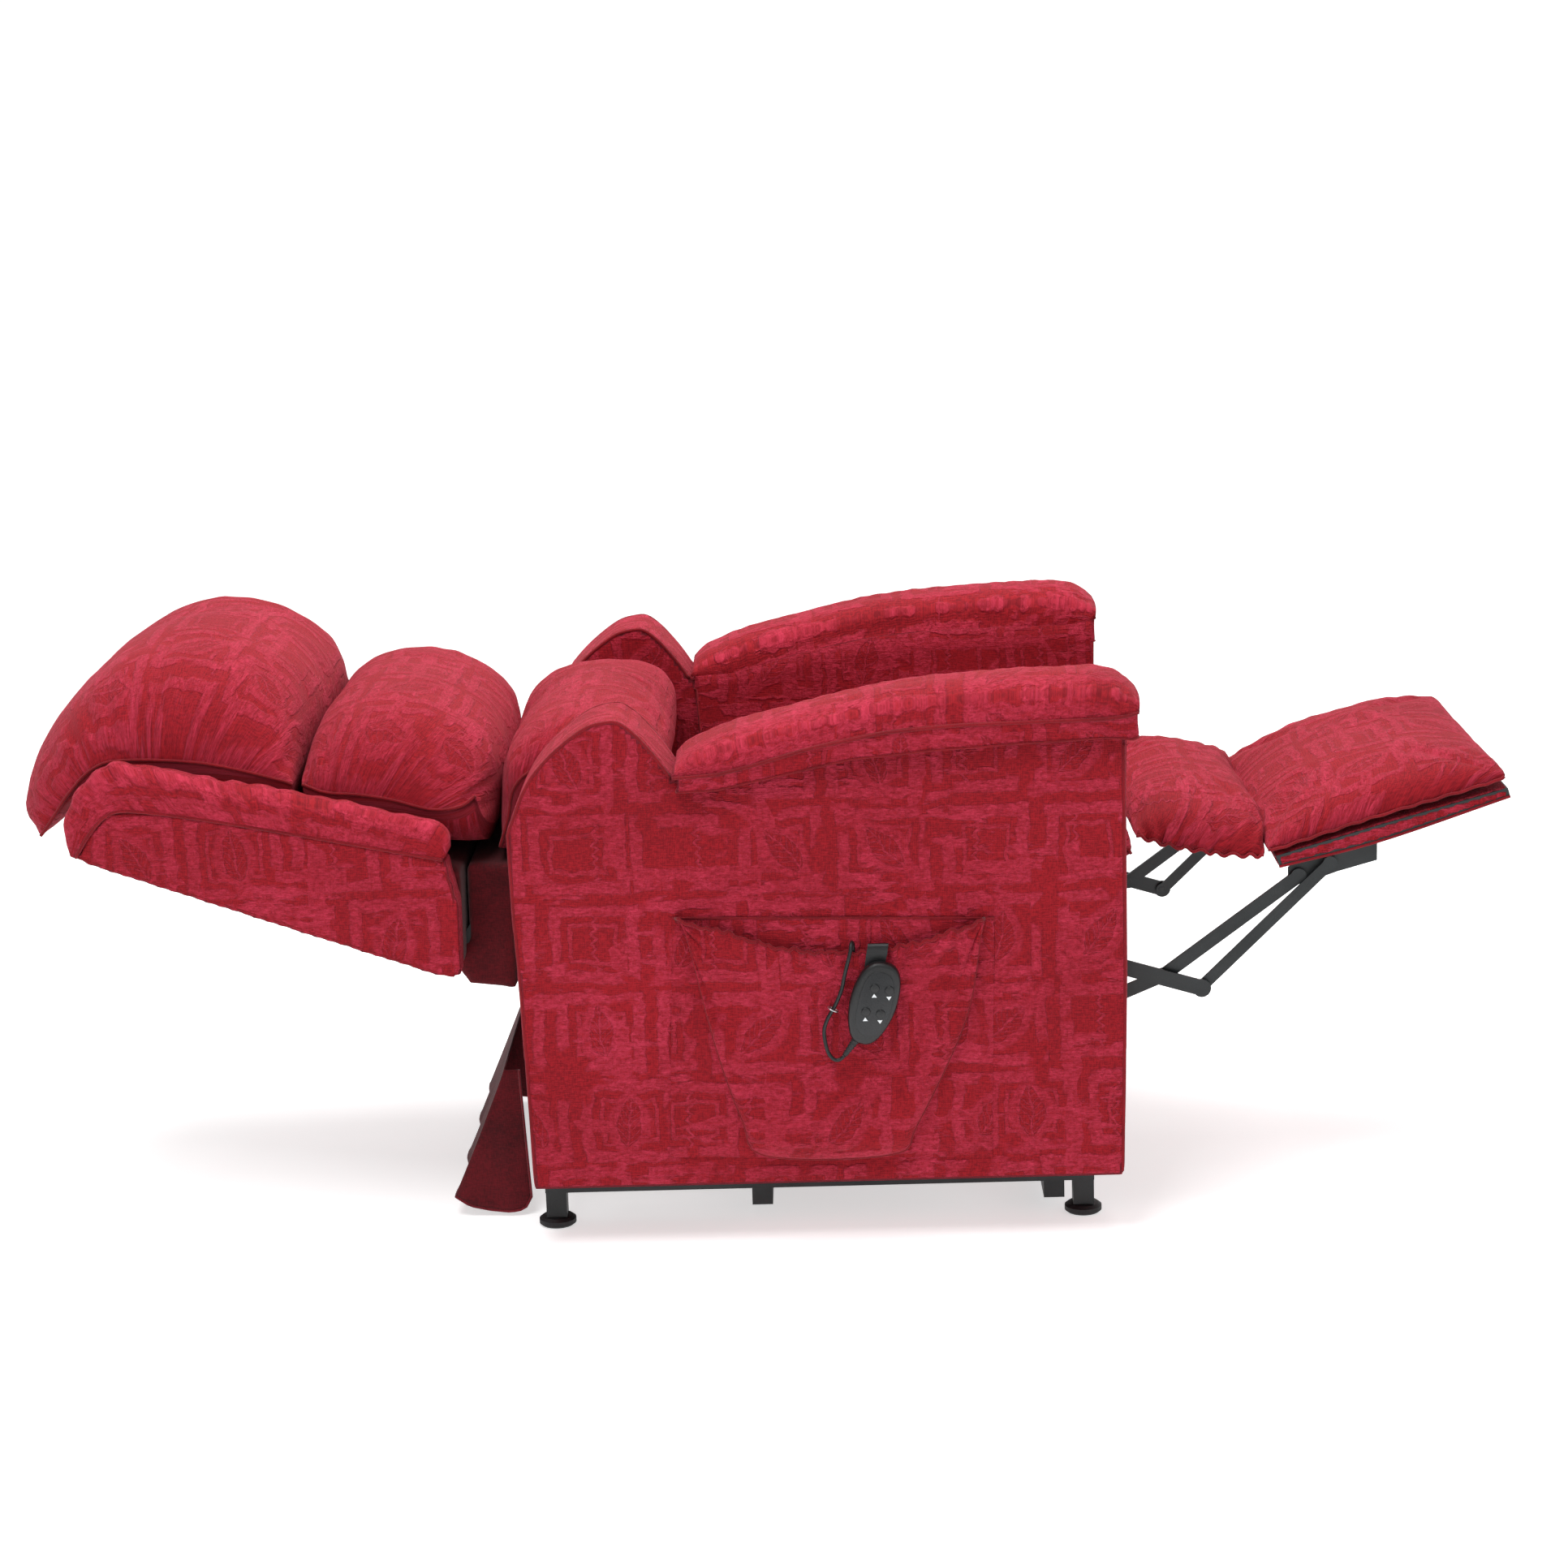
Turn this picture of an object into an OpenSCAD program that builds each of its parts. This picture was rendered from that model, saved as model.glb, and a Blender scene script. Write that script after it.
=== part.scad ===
// Riser recliner chair, shown fully reclined with the legrest raised.
// The occupant faces +X, the occupant's right hand is towards -Y, +Z is up.
// The origin is on the floor, below the middle of the reclined chair.
// All side profiles are drawn as [x, z] points.

/* [Base] */
// Side length of the square steel base tube
tube = 25; // [23:1:27]
// Diameter of each round floor glide
glide_d = 45; // [36:1:50]
// Diameter of the pins that carry the lift arms
lift_pin_d = 12; // [10:0.5:14]

/* [Lift] */
// Depth of each rear lift arm
rear_arm_w = 30; // [26:1:32]
// Depth of each front lift arm
front_arm_w = 26; // [22:1:28]

/* [Seat and arms] */
// Thickness of the timber arm boards
board = 15; // [12:1:18]
// Half of the chair's overall width at the arm panels
half_w = 363; // [362:1:365]
// Half of the seat cushion's width
seat_half = 244; // [225:1:245]

/* [Back] */
// Half of the width across the side rolls
back_half = 325; // [320:1:340]
// Half of the width of the head and middle pillows
pillow_half = 280; // [260:1:281]

/* [Legrest] */
// Width of the main legrest links
link_w = 22; // [18:1:23]
// Thickness of every legrest link
link_t = 4; // [3:0.5:4]
// Half of the width of the footrest
foot_half = 237; // [200:1:238]

/* [Handset] */
// Thickness of the handset casing
hs_t = 16; // [15:0.5:17]
// Diameter of the handset cord
cord_d = 4.6; // [4:0.2:5]
// Diameter of each handset button
btn_d = 10; // [8:0.5:11]

/* [Hidden] */
// Finer curves for round pins, holes and pads
$fn = 48;
// Names of all sub-parts

// Pivot points, all [x, z]
R0 = [250, 60];
R1 = [-150, 150];
F0 = [357, 60];
F1 = [150, 170];
H = [-130, 425];
C1 = [308.8, 337.4];
C2 = [250, 288];
P1 = [481, 285];
P2 = [527, 271];
P3 = [644, 404.5];
P4 = [681, 420.5];
T = [425.6, 262];
A0 = [-9, 62];
K0 = [200, 140];
A1 = [230, 250];
K1 = [-145, 315];

// Side profile of an arm panel with its raised ear
ear = [[-278, 96], [-284, 311], [-288, 394], [-291, 501], [-291, 512], [-283, 532], [-273, 557], [-259, 581], [-238, 604], [-214, 624], [-192, 638], [-173, 643], [-156, 643], [-138, 630], [-120, 610], [-107, 593], [-96, 576]];
arm_top = [[-88, 566], [-44, 568], [34, 585], [111, 601], [208, 609], [304, 615], [428, 622]];
side_pts = concat([[-277, 78]], ear, arm_top, [[428, 336], [423, 78]]);

module both() { children(); mirror([0, 1, 0]) children(); }
// A flat profile given in [x, z], filling y0 to y1
module slab(y0, y1) translate([0, y1, 0]) rotate([90, 0, 0]) linear_extrude(y1 - y0) children();
module rod(p, r, y0, y1) translate([p[0], y1, p[1]]) rotate([90, 0, 0]) cylinder(r = r, h = y1 - y0);
module straight(a, b, w, y0, y1) let (u = (b - a) / norm(b - a), v = [-u[1], u[0]] * w / 2) slab(y0, y1) polygon([a - v, b - v, b + v, a + v]);
module bar(a, b, w, y0, y1) { straight(a, b, w - 3, y0, y1); rod(a, w / 2, y0, y1); rod(b, w / 2, y0, y1); }
// A round bar along the line from a towards b, from distance s to distance e
module shaft(a, b, r, s, e, y = 0) translate([a[0], y, a[1]]) rotate([0, 90 - atan2(b[1] - a[1], b[0] - a[0]), 0]) translate([0, 0, s]) cylinder(r = r, h = e - s);

// ---- base ----
module base_rail(s) color("#26241f") translate([-272, s > 0 ? 248 : -273, 43]) cube([665, tube, tube]);
module base_side_rails() { base_rail(-1); base_rail(1); }
module base_cross_tubes() color("#26241f") for (x = [345, -9]) translate([x - tube / 2, -262, 43 - tube]) cube([tube, 524, tube]);
module base_legs() color("#26241f") both() for (x = [-259, 380]) translate([x - tube / 2, 248, 12]) cube([tube, tube, 31]);
module glide_feet() color("#141414") both() for (x = [-259, 380]) translate([x, 260.5, 0]) rotate_extrude() polygon([[0, 0], [glide_d / 2 - 3, 0], [glide_d / 2, 2.5], [glide_d / 2, 8], [glide_d / 2 - 4, 11], [9, 12], [0, 12]]);
module lift_arm_pins() color("#8b8d90") both() { rod(R0, lift_pin_d / 2, 202, 248); rod(R0, 11, 217, 248); rod(F0, lift_pin_d / 2, 188, 248); rod(F0, 11, 203, 248); }
module transformer_box() color("#1d1d1f") difference() { translate([-80, 92, 43]) cube([110, 75, 52]); translate([-81, 107, 58]) cube([9, 32, 24]); }
module mains_inlet() color("#101010") difference() { translate([-78, 107, 58]) cube([6, 32, 24]); translate([-79, 111, 62]) cube([4, 24, 16]); }
module lift_actuator_lug() color("#3a3a3c") { both() slab(10, 14) polygon([[-21.5, 43], [3.5, 43], [3, 70], [-21, 70]]); rod(A0, 5, -10, 10); }

// ---- lift linkage ----
module lift_arms_rear() color("#2b2b2d") both() difference() { bar(R0, R1, rear_arm_w, 205, 215); rod(R0, lift_pin_d / 2 + 0.06, 204, 216); rod(R1, 6.06, 204, 216); }
module lift_torsion_tube() color("#2b2b2d") rod([212, 68.6], 12, -205, 205);
module lift_crank() color("#2b2b2d") both() difference() { slab(12, 17) polygon([[196, 72], [226, 76], [214, 146], [206, 152], [194, 152], [188, 146], [188, 134]]); rod([212, 68.6], 12.2, 11, 18); }
module lift_arms_front() color("#2b2b2d") both() { difference() { bar(F0, F1, front_arm_w, 190, 200); rod(F0, lift_pin_d / 2 + 0.06, 189, 201); } rod(F1, 7, 200, 216.4); }
module lift_actuator_body() color("#1a1a1c") difference() { union() { shaft(A0, K0, 17, 32, 165); rod(A0, 13, -9.5, 9.5); shaft(A0, K0, 9.4, 8, 36); slab(10, 74) polygon([[16, 62], [52, 75.5], [37, 116], [1, 102]]); } rod(A0, 5.06, -10, 10); shaft(A0, K0, 9.3, 49, 170); }
module lift_actuator_rod() color("#a8abb0") { shaft(A0, K0, 9, 52, 215); rod(K0, 11, -11.5, 11.5); }

// ---- seat chassis ----
module hanger_plates() color("#2b2b2d") both() { difference() { slab(217, 221) polygon([[-190, 140], [-165, 130], [-135, 130], [-60, 235], [80, 235], [130, 152], [170, 152], [222, 300], [222, 350], [-60, 285], [-205, 285], [-205, 235]]); translate([187.5, 216, 322.5]) cube([25, 6, 25]); translate([-202.5, 216, 237.5]) cube([25, 6, 25]); } rod(R1, 6, 202, 217); rod(R1, 11, 215.2, 217); }
module seat_side_plates() color("#2b2b2d") both() { difference() { slab(243, 247) polygon([[-215, 228], [-160, 228], [60, 265], [250, 262], [345, 312], [396, 385], [396, 415], [-85, 415], [-105, 442], [-130, 451], [-152, 442], [-165, 410], [-215, 290]]); } rod(C1, 6, 238, 243); rod(C2, 5, 238, 243); rod(H, 8, 235.5, 243); }
module chassis_cross_front() color("#2b2b2d") { translate([187.5, -243, 322.5]) cube([25, 486, 25]); both() slab(10, 14) polygon([[190, 322.5], [212, 322.5], [244, 250], [238, 238], [222, 238], [216, 250]]); rod(A1, 5, -10, 10); }
module chassis_cross_rear() color("#2b2b2d") translate([-202.5, -243, 237.5]) cube([25, 486, 25]);
module seat_rail_front() color("#caa777") translate([355, -243, 390]) cube([25, 486, 25]);
module seat_rail_rear() color("#caa777") translate([-75, -243, 390]) cube([25, 486, 25]);
// Sinuous spring outline: a zig-zag wire between the two seat rails
zz_n = 17;
function zz(o) = [for (i = [0:zz_n]) [-50 + 405 * i / zz_n, (i == 0 || i == zz_n ? 0 : (i % 2 == 0 ? 22 : -22)) + o]];
module seat_springs() color("#9a9ca0") for (y = [-168, -84, 0, 84, 168]) translate([0, y, 404]) linear_extrude(3.6) polygon(concat(zz(1.9), [for (i = [zz_n:-1:0]) zz(-1.9)[i]]));
module seat_cushion() color("#9c2338") slab(-seat_half, seat_half) polygon([[-74, 416], [395, 416], [425, 420], [440, 434], [446, 456], [438, 474], [415, 481], [300, 482], [120, 474], [-40, 462], [-66, 456], [-74, 445]]);
module arm_inner_panels() color("#7d1626") both() slab(247, 247 + board) polygon(side_pts);
module arm_outer_panels() color("#9c2338") both() slab(half_w - board, half_w) polygon(side_pts);
module arm_front_boards() color("#9c2338") both() slab(247 + board, half_w - board) polygon([[409, 78], [423, 78], [428, 336], [428, 600], [414, 600]]);
module arm_top_rails() color("#caa777") both() slab(247 + board, half_w - board) polygon([[-84, 566.5], [-44, 568], [34, 585], [111, 601], [208, 609], [304, 615], [428, 622], [428, 602], [304, 597], [208, 591], [111, 583], [34, 567], [-44, 550], [-84, 548]]);
module arm_ear_wraps() color("#9c2338") both() slab(247 + board, half_w - board) polygon(concat(ear, [[-106, 570], [-117, 584], [-129, 600], [-146, 619], [-159, 630], [-172, 631], [-187, 626], [-206, 614], [-229, 594], [-249, 572], [-262, 550], [-271, 526], [-279, 505], [-277, 394], [-272, 311], [-267, 96]]));
module arm_pads() color("#b83a55") both() { slab(240, 382) polygon([[-86, 567.5], [-44, 569], [34, 586], [111, 602], [208, 610], [304, 616], [428, 623], [444, 626], [449, 643], [442, 658], [426, 670], [395, 677], [348, 676], [270, 673], [153, 662], [54, 640], [-25, 622], [-70, 604], [-90, 586]]);
  slab(363.5 + (half_w - 363), 382) polygon([[-89, 558], [-44, 560], [34, 577], [111, 593], [208, 601], [304, 607], [428, 615], [428, 625], [304, 618], [208, 612], [111, 604], [34, 588], [-44, 571], [-88, 570]]);
  slab(240, 246.5) polygon([[-84, 558], [-44, 560], [34, 577], [111, 593], [208, 601], [304, 607], [428, 615], [428, 625], [304, 618], [208, 612], [111, 604], [34, 588], [-44, 571], [-84, 570]]); }
module rear_panel() color("#3c0d14") translate([-276, -247, 100]) cube([12, 494, 180]);
module rear_valance() color("#3c0d14") { slab(-232, 232) polygon([[-320, 187], [-345, 104], [-388, 26], [-385, 24], [-342, 103], [-317.5, 184], [-276, 184], [-276, 187]]); both() slab(229, 232) polygon([[-318.5, 185.5], [-343.5, 104], [-386.4, 25.4], [-368, 14], [-323, 5], [-300, 9], [-293, 24], [-300, 104], [-302, 185.5]]); }
module pocket_backing() color("#9c2338") slab(-half_w - 2, -half_w) polygon([[-101, 408], [-114, 116], [266, 106], [273, 398]]);
module pocket_bag() color("#b83a55") difference() { slab(-half_w - 17, -half_w - 2) polygon([[-97, 407], [-52, 396], [4, 377], [60, 366], [117, 364], [172, 371], [220, 385], [261, 398], [256, 378], [237, 277], [178, 150], [148, 114], [0, 116], [-27, 161], [-56, 256], [-85, 388]]);
  slab(-half_w - 14.5, -half_w + 1) polygon([[-90, 410], [-76, 385], [-49, 258], [-21, 165], [4, 121], [145, 120], [173, 154], [231, 279], [251, 388], [256, 410]]); }

// ---- handset on its strap ----
hy = -half_w - 20.5; // back of the casing
hc = [130, 308];   // middle of the casing, [x, z]
module hs_local() translate([hc[0], 0, hc[1]]) rotate([0, 15, 0]) children();
module handset_body() color("#2c2c2f") difference() { hs_local() difference() { slab(hy - hs_t, hy) union() { translate([3, 22]) circle(r = 27); translate([-4, -30]) circle(r = 20); polygon([[-23.6, 26], [-24, -30], [16, -30], [29.6, 19]]); }
  slab(hy - hs_t - 1, hy - hs_t + 1) difference() { translate([0, 2]) square([80, 120], center = true); translate([3, 22]) circle(r = 24.5); translate([-4, -30]) circle(r = 17.5); polygon([[-21, 26], [-21.5, -30], [13.5, -30], [27, 19]]); } }
  for (p = btn) rod(p, btn_d / 2 + 0.25, hy - hs_t - 2, hy - hs_t + 6); }
btn = [[132, 327], [149, 324], [121, 299], [138, 296]];
module button(i) color("#d9dadc") rod(btn[i], btn_d / 2, hy - hs_t - 2, hy - hs_t + 3.5);
module button_1() button(0);
module button_2() button(1);
module button_3() button(2);
module button_4() button(3);
module handset_strap() color("#1b1b1d") { slab(hy, hy + 2) polygon([[118, 300], [142, 300], [146, 372], [122, 372]]); slab(hy + 2, -half_w - 12) polygon([[122, 369.5], [146, 371.5], [146, 374], [122, 372]]); slab(-half_w - 14, -half_w - 12) polygon([[118, 310], [142, 310], [146, 371], [122, 369]]); }
module handset_strain_relief() color("#161618") translate([108.2, hy - 8, 262.5]) rotate([0, 180 + 36, 0]) cylinder(r1 = 5, r2 = 3.2, h = 22);
// The cord: out of the strain relief, round a loose loop, over the pocket's rim, down inside and into the arm
cp = [[95.1, -391.5, 244.5], [89.5, -391.5, 239.5], [83, -391.5, 239.5], [76.5, -390.5, 247], [73, -389, 260], [72, -387.5, 274], [76, -387, 287], [83, -386.5, 299], [89, -386.5, 311], [94, -386.5, 324], [97, -387, 338], [100, -387.5, 350], [103, -387.5, 361], [105, -386, 369.5], [106, -382.5, 375.5], [107, -377.5, 376.5], [108, -374, 372], [108, -373.2, 363], [107, -373, 349], [103, -373, 330], [96, -373, 305], [86, -373, 278], [74, -373, 250], [62, -373, 225], [50, -373, 204], [36, -373, 188], [20, -373, 178], [4, -373, 177], [-8, -373, 184], [-14, -373, 196], [-13, -373, 208], [-7, -373, 219], [3, -372.6, 225.5], [14, -372.5, 227]];
function unit(v) = v / norm(v);
function tan_at(i) = i == 0 ? unit([-0.59, 0, -0.81]) : i == len(cp) - 1 ? unit(cp[i] - cp[i - 1]) : unit(cp[i + 1] - cp[i - 1]);
function ring_at(i, n) = let (t = tan_at(i), u = unit(cross(t, [0.31, 0.9, 0.29])), v = cross(t, u)) [for (k = [0:n - 1]) cp[i] + cord_d / 2 * (cos(360 * k / n) * u + sin(360 * k / n) * v)];
module handset_cord() color("#1a1a1c") let (n = 8, m = len(cp)) polyhedron(points = [for (i = [0:m - 1]) each ring_at(i, n)], faces = concat([[for (k = [0:n - 1]) k]], [for (i = [0:m - 2], k = [0:n - 1]) each [[i * n + k, (i + 1) * n + k, (i + 1) * n + (k + 1) % n], [i * n + k, (i + 1) * n + (k + 1) % n, i * n + (k + 1) % n]]], [[for (k = [n - 1:-1:0]) (m - 1) * n + k]]));
module cord_grommet() color("#161618") { translate([14.1, -half_w - 9.5, 227]) rotate([0, 90, 0]) cylinder(r = 4.6, h = 22); translate([20, -half_w - 9.5, 222.5]) cube([18, 7.5, 9]); }
module cord_ring() color("#3a3a3d") translate([83, -386.5, 299]) rotate([0, 27, 0]) rotate_extrude() translate([4.6, 0]) square([1.6, 6], center = true);

// ---- back ----
module back_hinge_plates() color("#2b2b2d") both() difference() { slab(236, 240) polygon([[-112, 412], [-112, 438], [-124, 446], [-180, 442], [-300, 440], [-359, 362], [-359, 337], [-330, 345], [-200, 402], [-142, 404], [-120, 402]]); rod(H, 8.06, 235, 241); }
module back_cross_rails() color("#caa777") { translate([-384, -313, 337]) cube([25, 626, 25]); translate([-780, -313, 490]) cube([20, 626, 20]); translate([-180, -236, 412]) cube([25, 472, 25]); }
back_side = [[-809, 494], [-786, 478], [-568, 399], [-384, 333], [-354, 330], [-352, 418], [-366, 473], [-506, 502], [-638, 528], [-731, 542], [-760, 537], [-781, 515], [-793, 486.1]];
module back_side_panels() color("#9c2338") both() slab(313, back_half) polygon([[-786, 478], [-568, 399], [-384, 333], [-354, 330], [-352, 418], [-366, 473], [-506, 502], [-638, 528], [-731, 542], [-760, 537], [-781, 515], [-795, 488]]);
module back_bolsters() color("#b83a55") both() slab(283, back_half) polygon([[-367, 474], [-506, 503], [-638, 529], [-731, 543], [-760, 538], [-781, 516], [-796, 489], [-809, 495], [-812, 531], [-796, 564], [-765, 593], [-741, 599], [-646, 585], [-561, 568], [-458, 541], [-374, 516], [-359, 499]]);
module back_rear_panel() color("#3c0d14") slab(-313, 313) polygon([[-386, 335], [-786, 480], [-789, 489], [-386, 345]]);
module back_foam_deck() color("#d8c9a3") slab(-282, 282) polygon([[-352, 450], [-352, 455], [-800, 528], [-800, 523]]);
module back_skirt() color("#3c0d14") slab(-231, 231) polygon([[-349, 447], [-296, 445], [-301, 296], [-357, 298]]);
module back_pillows() color("#b83a55") {
  slab(-pillow_half, pillow_half) polygon([[-877, 456], [-894, 483], [-893, 535], [-864, 596], [-818, 657], [-755, 706], [-693, 721], [-633, 714], [-585, 691], [-546, 656], [-538, 610], [-542, 560], [-545, 489], [-800, 531], [-828, 520], [-845, 470]]);
  slab(-pillow_half, pillow_half) polygon([[-532, 580], [-523, 619], [-496, 637], [-456, 647], [-406, 643], [-356, 623], [-320, 594], [-311, 581], [-318, 566], [-352, 538], [-353, 457], [-543, 488]]);
  slab(-231, 231) polygon([[-352, 457], [-317, 457], [-312, 500], [-309, 553], [-318, 565], [-352, 537]]);
  slab(-231, 231) polygon([[-307, 553], [-305, 570], [-277, 600], [-236, 617], [-174, 621], [-135, 612], [-120, 596], [-109, 570], [-128, 501], [-151, 447], [-290, 447], [-314, 457]]); }
module back_crank() color("#2b2b2d") both() slab(12, 17) polygon([[-180, 412], [-157, 412], [-132, 315], [-138, 304], [-152, 304], [-158, 315]]);
module back_actuator_body() color("#1a1a1c") difference() { union() { shaft(A1, K1, 17, 34, 240); rod(A1, 12, -9.5, 9.5); shaft(A1, K1, 9.4, 8, 38); slab(10, 74) polygon([[205, 236], [150, 245], [143, 202], [198, 193]]); } rod(A1, 5.06, -10, 10); shaft(A1, K1, 9.3, 60, 245); }
module back_actuator_rod() color("#a8abb0") { shaft(A1, K1, 9, 65, 374); rod(K1, 11, -11.5, 11.5); }

// ---- legrest linkage ----
l1a = 242.5 - link_t;
module legrest_torque_tube_shape() rod([366.2, 319.9], 12, -l1a, l1a);
module legrest_main_links() color("#232326") { both() { difference() { bar(C1, P2, link_w, l1a, 242.5); rod(C1, 6.06, 237, 244); } rod(P1, 4.5, 228.7, l1a); rod(P2, 4.5, 233.2, l1a); } legrest_torque_tube_shape(); }
module legrest_control_links() color("#232326") both() { difference() { bar(C2, T, 19, l1a, 242.5); rod(C2, 5.06, 237, 244); } rod(T, 5, 233.4, l1a); }
module legrest_upper_links() color("#232326") both() { difference() { union() { bar(T, P1, 19, 229, 233); bar(P1, P3, 19, 229, 233); } rod(P1, 4.56, 228, 234); } rod(P3, 4.5, 224.2, 229); }
module legrest_stay_links() color("#232326") both() difference() { bar(P2, P4, 17, 233.6, 236.8); rod(P2, 4.56, 232, 238); }
module footrest() color("#232326") { both() difference() { slab(224.5, 228.5) polygon([[632, 397], [650, 394], [690, 408], [738, 421], [738, 446.5], [640, 422.7], [632, 414]]); rod(P3, 4.56, 224, 229); } slab(-foot_half, foot_half) polygon([[616, 431], [621, 418], [740, 447], [894, 497], [891, 507], [740, 466]]); }
module footrest_pad() color("#b83a55") slab(-foot_half, foot_half) polygon([[606, 440], [618, 437], [740, 473], [883, 514], [889, 524], [883, 533], [863, 537], [815, 535], [708, 509], [650, 484], [617, 467], [604, 452]]);
module calf_pad() color("#b83a55") slab(-236, 236) polygon([[450, 458], [489, 445], [546, 434], [600, 432], [602, 455], [612, 478], [574, 489], [521, 496], [484, 497], [455, 480]]);

base_side_rails();
base_cross_tubes();
base_legs();
glide_feet();
lift_arm_pins();
transformer_box();
mains_inlet();
lift_actuator_lug();
lift_arms_rear();
lift_torsion_tube();
lift_crank();
lift_arms_front();
lift_actuator_body();
lift_actuator_rod();
hanger_plates();
seat_side_plates();
chassis_cross_front();
chassis_cross_rear();
seat_rail_front();
seat_rail_rear();
seat_springs();
seat_cushion();
arm_inner_panels();
arm_outer_panels();
arm_front_boards();
arm_top_rails();
arm_ear_wraps();
arm_pads();
rear_panel();
rear_valance();
pocket_backing();
pocket_bag();
handset_strap();
handset_body();
button_1();
button_2();
button_3();
button_4();
handset_strain_relief();
handset_cord();
cord_grommet();
cord_ring();
back_hinge_plates();
back_cross_rails();
back_side_panels();
back_bolsters();
back_rear_panel();
back_foam_deck();
back_skirt();
back_pillows();
back_crank();
back_actuator_body();
back_actuator_rod();
legrest_main_links();
legrest_control_links();
legrest_upper_links();
legrest_stay_links();
footrest();
footrest_pad();
calf_pad();
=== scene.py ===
import math
import random

import bmesh
import bpy
import numpy as np
from mathutils import Matrix, Vector, noise


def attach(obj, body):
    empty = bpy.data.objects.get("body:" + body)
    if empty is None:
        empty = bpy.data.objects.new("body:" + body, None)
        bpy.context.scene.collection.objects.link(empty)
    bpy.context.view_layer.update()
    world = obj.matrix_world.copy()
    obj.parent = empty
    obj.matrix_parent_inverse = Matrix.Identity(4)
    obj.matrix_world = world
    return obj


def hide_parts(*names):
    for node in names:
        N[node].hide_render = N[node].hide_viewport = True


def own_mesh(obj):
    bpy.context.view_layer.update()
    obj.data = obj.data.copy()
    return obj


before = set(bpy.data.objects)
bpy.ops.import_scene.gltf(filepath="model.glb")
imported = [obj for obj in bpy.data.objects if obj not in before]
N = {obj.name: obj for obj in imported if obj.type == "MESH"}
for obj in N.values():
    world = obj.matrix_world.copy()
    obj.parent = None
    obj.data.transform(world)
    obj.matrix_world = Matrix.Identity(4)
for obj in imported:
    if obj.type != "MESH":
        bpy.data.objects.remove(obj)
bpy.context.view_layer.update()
SC = bpy.context.scene
MM = 0.001

# ------------------------------------------------------------------ camera
YAW, PITCH, ROLL = math.radians(0.8674), math.radians(12.6086), math.radians(1.7158)
fwd = Vector((-math.sin(YAW) * math.cos(PITCH), math.cos(YAW) * math.cos(PITCH), -math.sin(PITCH)))
rgt = Vector((math.cos(YAW), math.sin(YAW), 0))
dwn = fwd.cross(rgt)
r_ = math.cos(ROLL) * rgt + math.sin(ROLL) * dwn
d_ = -math.sin(ROLL) * rgt + math.cos(ROLL) * dwn
cam = bpy.data.objects.new("camera", bpy.data.cameras.new("camera"))
SC.collection.objects.link(cam)
cam.matrix_world = Matrix(((r_.x, -d_.x, -fwd.x, 0.0915), (r_.y, -d_.y, -fwd.y, -4.1943), (r_.z, -d_.z, -fwd.z, 1.4206), (0, 0, 0, 1)))
cam.data.lens, cam.data.sensor_width = 78.26, 36
SC.camera = cam


# ------------------------------------------------------------------ node helper
class E:
    """A scalar socket in a node tree, with arithmetic."""

    def __init__(self, nt, s):
        self.nt, self.s = nt, s

    def _op(self, op, *others):
        n = self.nt.nodes.new("ShaderNodeMath")
        n.operation = op
        for i, v in enumerate((self,) + others):
            if isinstance(v, E):
                self.nt.links.new(v.s, n.inputs[i])
            else:
                n.inputs[i].default_value = float(v)
        return E(self.nt, n.outputs[0])

    def __add__(self, o): return self._op("ADD", o)
    def __radd__(self, o): return self._op("ADD", o)
    def __sub__(self, o): return self._op("SUBTRACT", o)
    def __rsub__(self, o): return (self * -1.0) + o
    def __mul__(self, o): return self._op("MULTIPLY", o)
    def __rmul__(self, o): return self._op("MULTIPLY", o)
    def __truediv__(self, o): return self._op("DIVIDE", o)
    def abs(self): return self._op("ABSOLUTE")
    def floor(self): return self._op("FLOOR")
    def fract(self): return self._op("FRACT")
    def sin(self): return self._op("SINE")
    def pow(self, e): return self._op("POWER", e)
    def max(self, o): return self._op("MAXIMUM", o)
    def min(self, o): return self._op("MINIMUM", o)
    def gt(self, o): return self._op("GREATER_THAN", o)
    def lt(self, o): return self._op("LESS_THAN", o)

    def ss(self, a, b, lo=0.0, hi=1.0):
        n = self.nt.nodes.new("ShaderNodeMapRange")
        n.interpolation_type = "SMOOTHSTEP"
        self.nt.links.new(self.s, n.inputs[0])
        for i, v in zip((1, 2, 3, 4), (a, b, lo, hi)):
            if isinstance(v, E):
                self.nt.links.new(v.s, n.inputs[i])
            else:
                n.inputs[i].default_value = v
        return E(self.nt, n.outputs[0])


def vec(nt, x, y, z=0.0):
    n = nt.nodes.new("ShaderNodeCombineXYZ")
    for i, v in enumerate((x, y, z)):
        if isinstance(v, E):
            nt.links.new(v.s, n.inputs[i])
        else:
            n.inputs[i].default_value = v
    return n.outputs[0]


def sep(nt, v):
    n = nt.nodes.new("ShaderNodeSeparateXYZ")
    nt.links.new(v, n.inputs[0])
    return [E(nt, o) for o in n.outputs]


def noise_tex(nt, v, scale, detail=2.0, rough=0.5, color=False):
    n = nt.nodes.new("ShaderNodeTexNoise")
    n.inputs["Scale"].default_value, n.inputs["Detail"].default_value, n.inputs["Roughness"].default_value = scale, detail, rough
    nt.links.new(v, n.inputs["Vector"])
    return n.outputs["Color"] if color else E(nt, n.outputs["Fac"])


def white(nt, v):
    n = nt.nodes.new("ShaderNodeTexWhiteNoise")
    n.noise_dimensions = "3D"
    nt.links.new(v, n.inputs["Vector"])
    return sep(nt, n.outputs["Color"])


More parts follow.
